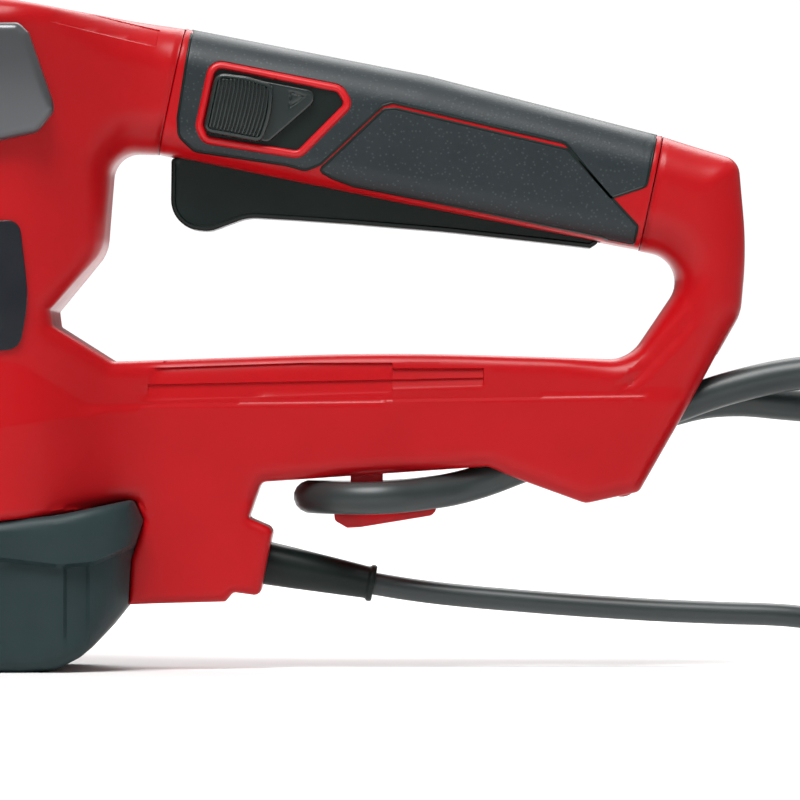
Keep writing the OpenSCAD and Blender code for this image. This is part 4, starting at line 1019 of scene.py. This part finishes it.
    def cutters(self, side: Side) -> list[bmesh.types.BMesh]:
        """What is taken out of a shell: the lead's passage, the boot's hole, the slots, the sleeves' bores."""
        post = self.post
        passage = prism([post(168, 40, 0), post(182, 63.5, 6), post(222, 79.9, 20), post(262, 97.5, 10),
                         post(290, 99, 0), post(290, 73, 0), post(258, 75, 10), post(229, 64, 20),
                         post(205, 40, 0)], -12.4, 12.4)
        boot = place(rod(6.8, 24), BOOT_FRAME @ Matrix.Translation((-8, 0, 0)))
        parts = [passage, boot]
        for i in range(6):
            z = 72 + 7 * i
            y0 = -45 if side is Side.LEFT else 30
            parts.append(prism([(-70, z, 1.4), (-46, z, 1.4), (-46, z + 3, 1.4), (-70, z + 3, 1.4)], y0,
                               y0 + 15))
        for u in (-6, GRIP_LENGTH - 2):
            parts.append(place(rod(11.1, 8), GRIP_FRAME @ Matrix.Translation((u, 0, 0))))
        if side is Side.LEFT:
            return [join(*parts)]
        heads = [screw_rod(3.5, 30, 24, (x, depth - 3.2, z), Matrix()) for x, z, depth in self.screws]
        return [join(*parts), *heads]

    def bosses(self) -> bmesh.types.BMesh:
        """The tubes that the screw heads of the right shell sit in."""
        tubes = []
        for x, z, depth in self.screws:
            tube = rod(4.2, depth - 0.5)
            bmesh.ops.delete(tube, geom=[f for f in tube.faces if abs(f.normal.x) > 0.9], context="FACES")
            bmesh.ops.solidify(tube, geom=tube.faces[:], thickness=-1.0)
            tubes.append(place(tube, Matrix.Translation((x, 0.2, z)) @ Matrix.Rotation(QUARTER, 4, "Z")))
        return join(*tubes)

    def build(self) -> None:
        """Builds both shells."""
        for side in Side:
            bm = skin(Outline(self.corners(), 2.2), self.half_width, 1.8, (0, 0.12, 0.4, 0.85, 1.5, 2.3),
                      self.scores())
            wall_in(bm, -self.seam)
            faced(bm)
            if side is Side.RIGHT:
                flip_y(bm)
            name = side.name.lower()
            shell = piece(f"housing_shell_{name}", bm, RED)
            thicken(shell, self.wall)
            cut(shell, *self.cutters(side))
            fit(shell, "housing", f"housing_{name}", slot="red_plastic")
        tubes = piece("screw_bosses", self.bosses(), RED)
        fit(tubes, "housing", slot="red_plastic")


# ---------------------------------------------------------------- rear grip


@dataclass
class Grip:
    """The turning grip: red core, soft cover, soft panels, the slider's frame and the slider."""

    half: float = 17.5
    soft: float = 1.5
    top_line: Sequence[Pair] = ((0.8, 20.2), (75.75, 21.4), (150.7, 18.2))
    bottom_line: Sequence[Pair] = ((0.8, -19.6), (75.75, -19.0), (150.7, -17.6))
    core: Sequence[Corner] = ((0.3, -19.6, 0), (0.3, 20.2, 0), (75.75, 21.4, 300), (151.2, 18.2, 0),
                              (151.2, -17.6, 0),
                              (75.75, -19, 300))
    cover: Sequence[Corner] = (
        (2.4, 20.24, 0), (2.4, 17, 3), (3.8, -7.8, 6), (5.2, -13.4, 4), (11, -16.9, 4), (39.3, -15.2, 0),
        (45.7, -15.6, 3),
        (49.8, -12.8, 2.5), (64.8, 8.9, 2), (67.6, 10.4, 2), (122, 9.3, 3), (139.3, -4.4, 1), (149.3, 1.5, 2),
        (149.3, 18.26, 0), (75.75, 21.4, 300))
    panel: Sequence[Corner] = (
        (49.6, -14.8, 1), (54.4, -16.2, 1), (61, -17.2, 2), (90, -16.8, 0), (139.3, -16.6, 1),
        (141.2, -17.2, 0.5),
        (149.3, -17.1, 1), (149.3, -11.1, 1), (123.3, 7.6, 3), (68.8, 8.9, 2), (65.4, 8.0, 2))
    bezel: Sequence[Corner] = (
        (9.7, -9.4, 4), (9.8, 12, 4.5), (51.3, 12.6, 5), (56, 7.2, 4), (43.3, -12.4, 4.5), (12.8, -13.9, 4))
    knob: Sequence[Corner] = (
        (12.4, -8.8, 3), (12.4, 8.1, 3.2), (22, 8.9, 20), (30.6, 8.2, 3), (31.9, -1, 30), (30.9, -10.0, 2.5),
        (13.3, -10.5, 2.5))
    pointer: Sequence[Corner] = (
        (20, 8.6, 0), (30.7, 8.8, 0), (43.6, 9, 2.2), (43.6, 5, 2.5), (32.6, -9.6, 2), (20, -9.4, 0))
    slot_half: float = 7.4
    sharp: float = 50.0
    screws: Sequence[Pair] = ((20, 13.5), (84, 14.2), (143.5, 9.5), (125.5, 12.5), (145.5, -11))

    def side(self, u: np.ndarray, v: np.ndarray) -> np.ndarray:
        """The grip's half width at places along and across it, in millimetres."""
        top = np.interp(u, *zip(*self.top_line)) - v
        bottom = v - np.interp(u, *zip(*self.bottom_line))
        return self.half - circle_drop(top, 14.0) - circle_drop(bottom, 8.5)

    def skin_of(self, corners: Sequence[Corner], edge: float, pitch: float = 2.0,
                open_top: bool = True) -> bmesh.types.BMesh:
        """A region of the grip's side with a rounded edge.

        Args:
            corners: The region's outline in the grip's own frame.
            edge: The radius of its edge, in millimetres.
            pitch: The spacing of its grid.
            open_top: Whether its edge stays square where it reaches the grip's top.

        Returns:
            The mesh, open at its edge.
        """
        loop = corner_points(corners)

        def half_width(u: np.ndarray, v: np.ndarray) -> np.ndarray:
            """The region's half width."""
            width = self.side(u, v)
            ends = loop[1:] + loop[:1]
            segments = [(a, b) for a, b in zip(loop, ends)
                        if not (open_top and min(a[1], b[1]) > 17.5 and abs(a[0] - b[0]) > 1)]
            distance = np.full(u.shape, FAR)
            for a, b in segments:
                distance = np.minimum(distance, line_distance(u, v, [a, b]))
            return np.maximum(width - circle_drop(distance, edge), 0.05)

        return skin(Outline(corners, 2.0), half_width, pitch, (0, 0.08, 0.25, 0.5, 0.85, 1.4, 2.2, 3.2))

    def close_top(self, bm: bmesh.types.BMesh) -> None:
        """Joins a skin to the plane y = 0 along the grip's top, so that its mirror image meets it."""
        wall_in(bm, 0, [e for e in bm.edges if e.is_boundary and all(
            v.co.z > np.interp(v.co.x, *zip(*self.top_line)) - 0.02 for v in e.verts)])

    def shell(self, name: str, bm: bmesh.types.BMesh, finish: Finish, wall: float) -> bpy.types.Object:
        """Turns a skin in the grip's own frame into a walled piece in its place."""
        place(bm, GRIP_FRAME)
        made = piece(name, bm, finish, self.sharp)
        thicken(made, wall)
        return made

    def slider_hole(self, inset: float, y0: float, y1: float) -> bmesh.types.BMesh:
        """A prism inside the slider's frame."""
        ring = [(p.x, p.y, 0.0) for p in Outline(self.bezel, 1000).ring(inset)]
        return place(prism(ring, y0, y1), GRIP_FRAME)

    def screw_holes(self) -> list[bmesh.types.BMesh]:
        """The holes that take the screws' heads, on the right side."""
        return [screw_rod(3.0, 12, 24, (u, self.half - 5, v), GRIP_FRAME) for u, v in self.screws]

    def trigger_slot(self) -> bmesh.types.BMesh:
        """The slot that the trigger moves in."""
        corners = [(3.8, -30, 0), (139.4, -30, 0), (139.4, -11, 0), (3.8, -11, 0)]
        return place(prism(corners, -self.slot_half, self.slot_half), GRIP_FRAME)

    def build(self) -> None:
        """Builds the grip's pieces."""
        for side in Side:
            bm = self.skin_of(self.core, 0.5, 3.0, False)
            for vert in bm.verts:
                vert.co.y += 0.12
                if vert.co.z > 4 and 2.0 < vert.co.x < 149.8:
                    vert.co.z -= 0.35
            wall_in(bm, -0.05)
            faced(bm)
            if side is Side.RIGHT:
                flip_y(bm)
            name = side.name.lower()
            half = self.shell(f"grip_core_{name}", bm, RED, 2.2)
            others = [self.slider_hole(1.4, -18.5, -16.0)] if side is Side.LEFT else self.screw_holes()
            cut(half, self.trigger_slot(), *others, sharp=self.sharp)
            fit(half, "grip", f"grip_{name}", slot="red_plastic")
        cover = self.skin_of(self.cover, 0.7)
        self.close_top(cover)
        faced(cover)
        mirror_y(cover)
        soft = self.shell("grip_rubber_cover", cover, SOFT, self.soft)
        cut(soft, self.slider_hole(-0.15, -18.5, -10), *self.screw_holes(), sharp=self.sharp)
        fit(soft, "grip", "grip_soft_cover", slot="soft_rubber")
        near, far = (faced(self.skin_of(self.panel, 0.7, 2.0, False)) for _ in Side)
        panels = self.shell("grip_rubber_panels", join(near, flip_y(far)), SOFT, self.soft)
        cut(panels, *self.screw_holes(), self.trigger_slot(), sharp=self.sharp)
        fit(panels, "grip", "grip_soft_panels", slot="soft_rubber")
        self.paint_edge_shade()
        self.slider_frame()
        self.slider()

    def paint_edge_shade(self) -> None:
        """Builds thin black strips round each rubber part, lying on the surface as painted shade in the gap at
        its edge.
        """
        strips = []
        for region in (self.cover, self.panel):
            ring = Outline(region, 2.0).ring(-0.32)
            inner = Outline(region, 2.0).ring(0.5)
            for sign in (1, -1):
                bm = bmesh.new()
                loops = []
                for loop in (ring, inner):
                    u = np.array([p.x for p in loop])
                    v = np.clip([p.y for p in loop], np.interp(u, *zip(*self.bottom_line)),
                                np.interp(u, *zip(*self.top_line)))
                    loops.append(ring_through(bm, [(a, -sign * (w + 0.03), b)
                                                   for a, b, w in zip(u, v, self.side(u, v))]))
                bmesh.ops.bridge_loops(bm, edges=loops[0] + loops[1])
                bmesh.ops.recalc_face_normals(bm, faces=bm.faces)
                if sign * sum(f.normal.y * f.calc_area() for f in bm.faces) > 0:
                    bmesh.ops.reverse_faces(bm, faces=bm.faces)
                strips.append(bm)
        # the strips are painted shade: black sheets where the gap round the rubber is only in shadow
        made = piece("rubber_edge_painted_shade", place(join(*strips), GRIP_FRAME), BLACK)
        thicken(made, 0.3)
        fit(made, "grip", slot="black_plastic")

    def slider_frame(self) -> None:
        """Builds the raised red frame round the slider, and the black floor inside it."""
        width = 2.4
        depths = [width * i / 8 for i in range(9)]
        bm = bmesh.new()
        rings = []
        for depth in depths:
            lift = math.sqrt(max(0.0, 1 - (2 * depth / width - 1) ** 2))
            loop = Outline(self.bezel, 2.0).ring(depth)
            base = self.side(np.array([p.x for p in loop]), np.array([p.y for p in loop]))
            rings.append(ring_through(bm, [(p.x, -(w - 0.5 + lift), p.y) for p, w in zip(loop, base)]))
        for outer, inner in zip(rings, rings[1:]):
            bmesh.ops.bridge_loops(bm, edges=outer + inner)
        bmesh.ops.remove_doubles(bm, verts=bm.verts, dist=0.001)
        wall_in(bm, -15.8)
        cap(bm)
        fit(piece("slider_frame", place(faced(bm), GRIP_FRAME), RED_LIP, 60), "grip", slot="red_plastic")
        floor = self.slider_hole(2.2, -16.05, -15.75)
        fit(piece("slider_bed", floor, BLACK), "grip", slot="black_plastic")

    def slider(self) -> None:
        """Builds the ribbed slider with its pointer."""
        loop = corner_points(self.knob)

        def knob_width(u: np.ndarray, v: np.ndarray) -> np.ndarray:
            """The ribbed knob's half width."""
            edge = line_distance(u, v, loop, True)
            return 20.9 - circle_drop(edge, 0.9) - 1.1 * step(edge, 1.15, 1.5)

        knob = skin(Outline(self.knob, 0.6), knob_width, 1.5, (0, 0.1, 0.3, 0.6, 0.95, 1.15, 1.5))
        wall_in(knob, -16.2)
        cap(knob)
        ribs = []
        for i in range(15):
            start = 14.15 + 1.12 * i
            line = [(start + 1.1 * (1 - (v / 9.5) ** 2) * min(1.0, (start - 14) / 16), v)
                    for v in np.linspace(-8.7, 6.5 + 0.2 * min(i, 5), 9)]
            corners = [(u - 0.34, v, 0) for u, v in line] + [(u + 0.34, v, 0) for u, v in reversed(line)]
            rib = prism(corners, -20.85, -19.4)
            round_edges(rib, 0.24, 2, 60)
            ribs.append(rib)
        flag_loop = corner_points(self.pointer)

        def flag_width(u: np.ndarray, v: np.ndarray) -> np.ndarray:
            """The pointer plate's half width, with its small engraved mark."""
            edge = line_distance(u, v, flag_loop, True)
            a, b, c = (36.2, 7.0), (40.6, 6.6), (37.0, 2.6)
            mark = np.minimum(np.minimum(self.beside(u, v, a, b), self.beside(u, v, b, c)),
                              self.beside(u, v, c, a))
            groove = 1 - step(np.abs(mark), 0.15, 0.4)
            return 18.2 - circle_drop(edge, 0.6) - 0.35 * groove

        flag = skin(Outline(self.pointer, 1.0), flag_width, 0.35, (0, 0.1, 0.3, 0.6))
        wall_in(flag, -16.2)
        cap(flag)
        tongue = block((22, -14.4, 0), (11, 4.4, 6))
        plate = block((22.2, -12.15, 0), (15.6, 1.9, 12))
        latch = block((8.05, -12.25, 0), (13.9, 1.7, 5))
        whole = join(faced(knob), faced(flag), *ribs, tongue, plate, latch)
        made = piece("ribbed_slider", place(whole, GRIP_FRAME), SLIDER, 45)
        fit(made, "lock_slider", "lock_slider", slot="black_plastic")

    @staticmethod
    def beside(u: np.ndarray, v: np.ndarray, a: Pair, b: Pair) -> np.ndarray:
        """The signed distance of places from the line through a and b, clockwise corners giving plus inside."""
        dx, dz = b[0] - a[0], b[1] - a[1]
        return -((u - a[0]) * -dz + (v - a[1]) * dx) / math.hypot(dx, dz)


@dataclass
class Trigger:
    """The long trigger lever under the grip."""

    half: float = 7.0
    edge: Sequence[Corner] = (
        (12, -14, 2), (9, -17, 1), (4.2, -20.5, 1), (8.3, -41, 9.5), (20.5, -39.9, 9), (31, -33.2, 14),
        (46, -30.9, 60),
        (62.3, -28.6, 200), (92, -24.8, 300), (121.7, -21.8, 300), (136.6, -20.4, 1), (138.4, -18.6, 1),
        (138.4, -9.4, 4), (129, -9.2, 3), (124, -13.4, 6))

    def build(self) -> None:
        """Builds the lever with the bead along its lower edge."""
        outer = corner_points(self.edge)
        bead = [p for p in outer if p[1] < -17.2]

        def half_width(u: np.ndarray, v: np.ndarray) -> np.ndarray:
            """The lever's half width."""
            distance = line_distance(u, v, outer, True)
            lower = line_distance(u, v, bead)
            flat = self.half - 0.9 * step(lower, 1.15, 1.6)
            return flat - circle_drop(distance, 0.9)

        bm = skin(Outline(self.edge, 1.6), half_width, 2.0, (0, 0.08, 0.25, 0.5, 0.85, 1.15, 1.6, 2.4))
        for vert in bm.verts:
            vert.co.y = min(vert.co.y, -0.5)
        wall_in(bm, 0)
        mirror_y(bm)
        made = piece("trigger_lever", place(bm, GRIP_FRAME), BLACK, 50)
        fit(made, "trigger", "trigger", slot="black_plastic")


# ---------------------------------------------------------------- base, front handle and cable parts


@dataclass
class Foot:
    """The black base under the motor, with its collar."""

    lower_half: float = 40.0
    collar_step: float = 2.8
    corner: float = 22.0
    wall: float = 2.4
    screws: Sequence[Pair] = ((-82, 26), (-82, -26), (13, 25), (13, -25), (38, 30), (38, -30))
    collar_line: Sequence[Pair] = ((-96, 34.6), (43, 34.6), (61, 32.4), (71.3, 33.4), (78.5, 36.6), (90, 42))

    def corners(self) -> list[Corner]:
        """The corners of the side outline."""
        return [(50, 0, 0), (59.5, 0.8, 6), (67, 4.7, 8), (74.4, 12.4, 12), *Housing().base_line,
                (-80, 42.6, 0),
                (-96, 42.6, 3), (-96, 0, 3)]

    def half_width(self, x: np.ndarray, z: np.ndarray) -> np.ndarray:
        """The base's half width at places along and up, in millimetres."""
        line = np.interp(x, *zip(*self.collar_line))
        collar = step(z - line, -0.7, 0.7)
        width = self.lower_half + self.collar_step * collar
        width -= circle_drop(83 + 3 * collar - x, self.corner)
        width -= circle_drop(x + 96, 5.0)
        bottom = line_distance(x, z, [(-100, 0), (50, 0), (59.5, 0.8), (67, 4.7), (74.4, 12.4), (80.8, 20.2)])
        width -= circle_drop(bottom, 5.0)
        top = line_distance(x, z, [(c[0], c[1]) for c in Housing().base_line[1:]])
        width -= circle_drop(top, 4.0) * 0.8
        rib = step(x, 61.8, 62.8) * (1 - step(x, 68.6, 69.8)) * step(z, 6, 12) * (1 - collar)
        width -= 1.3 * rib
        slope = x - 78.2 + (36.5 - z) * 0.27
        width -= 0.35 * np.clip(slope + 1.0, 0, 8) * (1 - collar)
        width += 0.5 * np.clip(3.0 - np.abs(z - line - 8), 0, 3) * 0.2 * collar
        return np.maximum(width, 0.5)

    def build(self) -> None:
        """Builds the base as an open tray."""
        scores = [((61.8, 5), (61.8, 33)), ((62.8, 5), (62.8, 33)), ((68.6, 5), (68.6, 34)),
                  ((69.8, 5), (69.8, 34))]
        line = self.collar_line
        for off in (-0.7, 0.7):
            scores += [((a[0], a[1] + off), (b[0], b[1] + off)) for a, b in zip(line, line[1:])]
        scores.append(((79.2, 36.5), (73.4, 15)))
        bm = skin(Outline(self.corners(), 2.5), self.half_width, 2.2, (0, 0.15, 0.5, 1.0, 1.8, 2.8), scores)
        wall_in(bm, 0)
        top = [f for f in bm.faces if abs(f.normal.y) < 0.3 and f.normal.length and
               all(v.co.z > 39.5 for v in f.verts) and any(abs(v.co.y) < 0.001 for v in f.verts)
               and f.calc_center_median().x < 81 and f.calc_center_median().x > -95.5]
        bmesh.ops.delete(bm, geom=top, context="FACES")
        mirror_y(bm)
        if sum(f.normal.z * f.calc_area() for f in bm.faces if f.calc_center_median().z < 3) > 0:
            bmesh.ops.reverse_faces(bm, faces=bm.faces)
        made = piece("foot", bm, FOOT, 40)
        thicken(made, self.wall)
        holes = [place(rod(3.6, 8), Matrix.Translation((x, y, -2)) @ Matrix.Rotation(-QUARTER, 4, "Y"))
                 for x, y in self.screws]
        cut(made, join(*holes, block((-93, 0, 13.5), (10, 27, 11))), sharp=40)
        fit(made, "housing", "base_cover", slot="black_plastic")


@dataclass
class FrontHandle:
    """The front handle: a bent tube in two shells, its pads on the housing, and the sprung bar."""

    tube: float = 13.0
    end: float = 5.5
    top: float = 262.0
    pad: Sequence[Corner] = (
        (48.4, 197.9, 2.5), (51.5, 194.9, 1.5), (58.8, 174, 2), (59.3, 171, 3), (54.2, 164.5, 3),
        (43, 162, 10),
        (-2, 155.7, 14), (-22.4, 176, 12), (-10, 197.4, 10))

    def frame(self) -> Matrix:
        """The handle's own frame: -X runs up along it, Z away from its plane."""
        return Matrix.Translation((20, 0, 178)) @ Matrix.Rotation(math.pi / 4, 4, "Y")

    def reach(self) -> float:
        """The handle's length along its own slope."""
        return (self.top - 178) / math.sin(math.pi / 4)

    def tube_mesh(self, rear: bool) -> bmesh.types.BMesh:
        """One of the two shells of the tube, cut along the handle's plane."""
        h = self.reach()
        half = [(-8, 46), (6, 47), (22, 51), (42, 58), (64, 63.5), (86, 64), (h - 16, 57), (h - 5, 45),
                (h, 32)]
        path = [(-a, -y) for a, y in half] + [(-h, -12), (-h, 12)] + [(-a, y) for a, y in reversed(half)]
        curve = pipe("tube", [(*point, 0) for point in path], self.tube)
        for i, knot in enumerate(curve.splines[0].bezier_points):
            grow = max(0.0, min(1.0, (min(i, len(path) - 1 - i) * 2 - 2) / 7))
            knot.radius = self.end / self.tube + (1 - self.end / self.tube) * grow
        holder = bpy.data.objects.new("tube", curve)
        mesh = holder.to_mesh()
        bm = bmesh.new()
        bm.from_mesh(mesh)
        holder.to_mesh_clear()
        bpy.data.objects.remove(holder)
        bpy.data.curves.remove(curve)
        bmesh.ops.remove_doubles(bm, verts=bm.verts, dist=0.01)
        done = bmesh.ops.bisect_plane(bm, geom=bm.verts[:] + bm.edges[:] + bm.faces[:],
                                      plane_co=(0, 0, 0.12 if rear else -0.12), plane_no=(0, 0, 1),
                                      clear_inner=rear, clear_outer=not rear)
        rim = [g for g in done["geom_cut"] if isinstance(g, bmesh.types.BMEdge)]
        bmesh.ops.holes_fill(bm, edges=rim, sides=0)
        bmesh.ops.recalc_face_normals(bm, faces=bm.faces)
        return place(bm, self.frame())

    def pads(self) -> bmesh.types.BMesh:
        """The crowned pads that hold the handle on the housing's two sides."""
        loop = corner_points(self.pad)

        def half_width(x: np.ndarray, z: np.ndarray) -> np.ndarray:
            """The pads' outer faces."""
            crown = 1.6 * ((z - 184) / 22) ** 2 + 0.9 * ((x - 20) / 40) ** 2
            return 47.4 - crown - circle_drop(line_distance(x, z, loop, True), 2.4)

        bm = skin(Outline(self.pad, 2.5), half_width, 2.4, (0, 0.2, 0.6, 1.2, 2.0, 3.0))
        wall_in(bm, -40.02)
        cap(bm)
        bmesh.ops.recalc_face_normals(bm, faces=bm.faces)
        return join(bm, flip_y(bm.copy()))

    def build(self) -> None:
        """Builds the handle's pieces."""
        fit(piece("handle_rear_tube", self.tube_mesh(True), BLACK), "housing", "front_handle_rear_shell",
            slot="handle_plastic")
        fit(piece("handle_pads", self.pads(), PAD), "housing", slot="handle_plastic")
        front = piece("handle_front_tube", self.tube_mesh(False), BLACK)
        h = self.reach()
        cut(front, place(block((-h, 0, -10), (12, 62, 20)), self.frame()))
        fit(front, "housing", "front_handle_front_shell", slot="handle_plastic")
        bar = block((-h, 0, -11), (11, 61, 13))
        round_edges(bar, 2.6, 4)
        fit(piece("sprung_bar", place(bar, self.frame()), SOFT), "front_switch_bar", "front_switch_bar",
            slot="black_plastic")


@dataclass
class CableParts:
    """The hook and the cord's boot, and the ends of both cords."""

    def lathe(self, profile: Sequence[Pair], sides: int = 40) -> bmesh.types.BMesh:
        """A turned shape about +X from [along, radius] pairs, closed at both ends."""
        bm = bmesh.new()
        verts = [bm.verts.new((x, 0, r)) for x, r in profile]
        edges = [bm.edges.new(pair) for pair in zip(verts, verts[1:])]
        bmesh.ops.spin(bm, geom=verts + edges, cent=(0, 0, 0), axis=(1, 0, 0), angle=2 * math.pi, steps=sides,
                       use_merge=True)
        bmesh.ops.remove_doubles(bm, verts=bm.verts, dist=0.001)
        bmesh.ops.holes_fill(bm, edges=[e for e in bm.edges if e.is_boundary], sides=0)
        bmesh.ops.recalc_face_normals(bm, faces=bm.faces)
        return bm

    def build(self) -> None:
        """Builds the hook, the boot and the plugs."""
        hook = prism([(143.8, 48.8, 1), (144.2, 45.8, 1.5), (148, 43.6, 1.5), (152, 43.8, 2),
                      (174, 47.4, 1.5),
                      (177, 50.4, 1), (170, 50, 3), (158, 48.6, 4)], -9, 9)
        round_edges(hook, 0.7, 3, 50)
        stem = prism([(149, 47.5, 0), (159, 47.5, 0), (159, 60.3, 0), (149, 59.6, 0)], -6, 6)
        fit(piece("cord_hook", join(hook, stem), RED), "housing", "cable_hook", slot="red_plastic")
        boot = self.lathe([(-13, 3.6), (-13, 9), (-8.2, 9), (-8.1, 6.7), (0, 6.72), (8, 6.35), (16, 5.9),
                           (24, 5.45), (31.4, 5.0), (32.0, 5.2), (32.3, 5.6), (32.7, 5.72), (33.3, 5.72),
                           (33.8, 5.5), (34, 5.1), (34, 3.6)])
        fit(piece("tapered_boot", place(boot, BOOT_FRAME), BLACK), "housing", "cord_boot", slot="cord_rubber")
        plug = self.lathe([(0, 3.6), (0, 5.2), (0.6, 5.6), (11, 8.7), (12, 10.6), (13, 12.2), (14.5, 13),
                           (17, 12.6), (19, 12.6), (20, 13), (22, 12.6), (24, 13), (26, 12.6), (28, 13),
                           (31, 13), (32, 12.4)])
        pins = join(*[place(rod(2.4, 20, 24), Matrix.Translation((30, 9.5 * s, 0))) for s in (-1, 1)])
        round_edges(pins, 0.7, 2, 60)
        fit(piece("supply_end", place(plug, PLUG_FRAME), BLACK), "housing", "supply_plug", slot="cord_rubber")
        fit(piece("supply_pins", place(pins, PLUG_FRAME), STEEL), "housing", slot="steel")
        coupler = self.lathe([(0, 12.9), (0.7, 13.6), (5, 13.6), (6, 13.1), (8, 13.1), (9, 13.6), (11, 13.1),
                              (13, 13.6), (15, 13.1), (17, 13.6), (30.5, 13.6), (32, 12.4), (33, 10.8),
                              (36, 10),
                              (45, 7), (46, 6.4)])
        fit(piece("lead_socket", place(coupler, Matrix.Translation((352.1, 6, 14))), BLACK), "housing",
            "lead_coupler", slot="cord_rubber")


# ---------------------------------------------------------------- carried-over nodes


def dress(nodes: dict[str, bpy.types.Object]) -> None:
    """Gives every carried-over node its finish, and rounds its sharp edges a little."""
    for finish, names in CARRIED.items():
        for name in names:
            made = nodes[name]
            for entry in made.material_slots:
                entry.material = finish.material()
            if not made.material_slots:
                made.data.materials.append(finish.material())
    for name, width in ROUNDED.items():
        weld = nodes[name].modifiers.new("weld", "WELD")
        weld.merge_threshold = WELD_DISTANCE
        edge = nodes[name].modifiers.new("edge", "BEVEL")
        edge.width = width * MM
        edge.segments = 2
        edge.limit_method = "ANGLE"
        edge.angle_limit = math.radians(BEVEL_ANGLE)
        edge.use_clamp_overlap = True
    log.info("dressed %d nodes", sum(len(n) for n in CARRIED.values()))


def main() -> None:
    """Builds the scene in order."""
    logging.basicConfig(level=logging.INFO, format="%(message)s")
    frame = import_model()
    nodes = frame["nodes"]
    studio = Studio()
    studio.camera()
    dress(nodes)
    Housing().build()
    Grip().build()
    Trigger().build()
    Foot().build()
    FrontHandle().build()
    CableParts().build()
    CordSet().build()
    studio.surroundings()
    studio.lights()
    studio.floor()


if __name__ == "__main__":
    main()
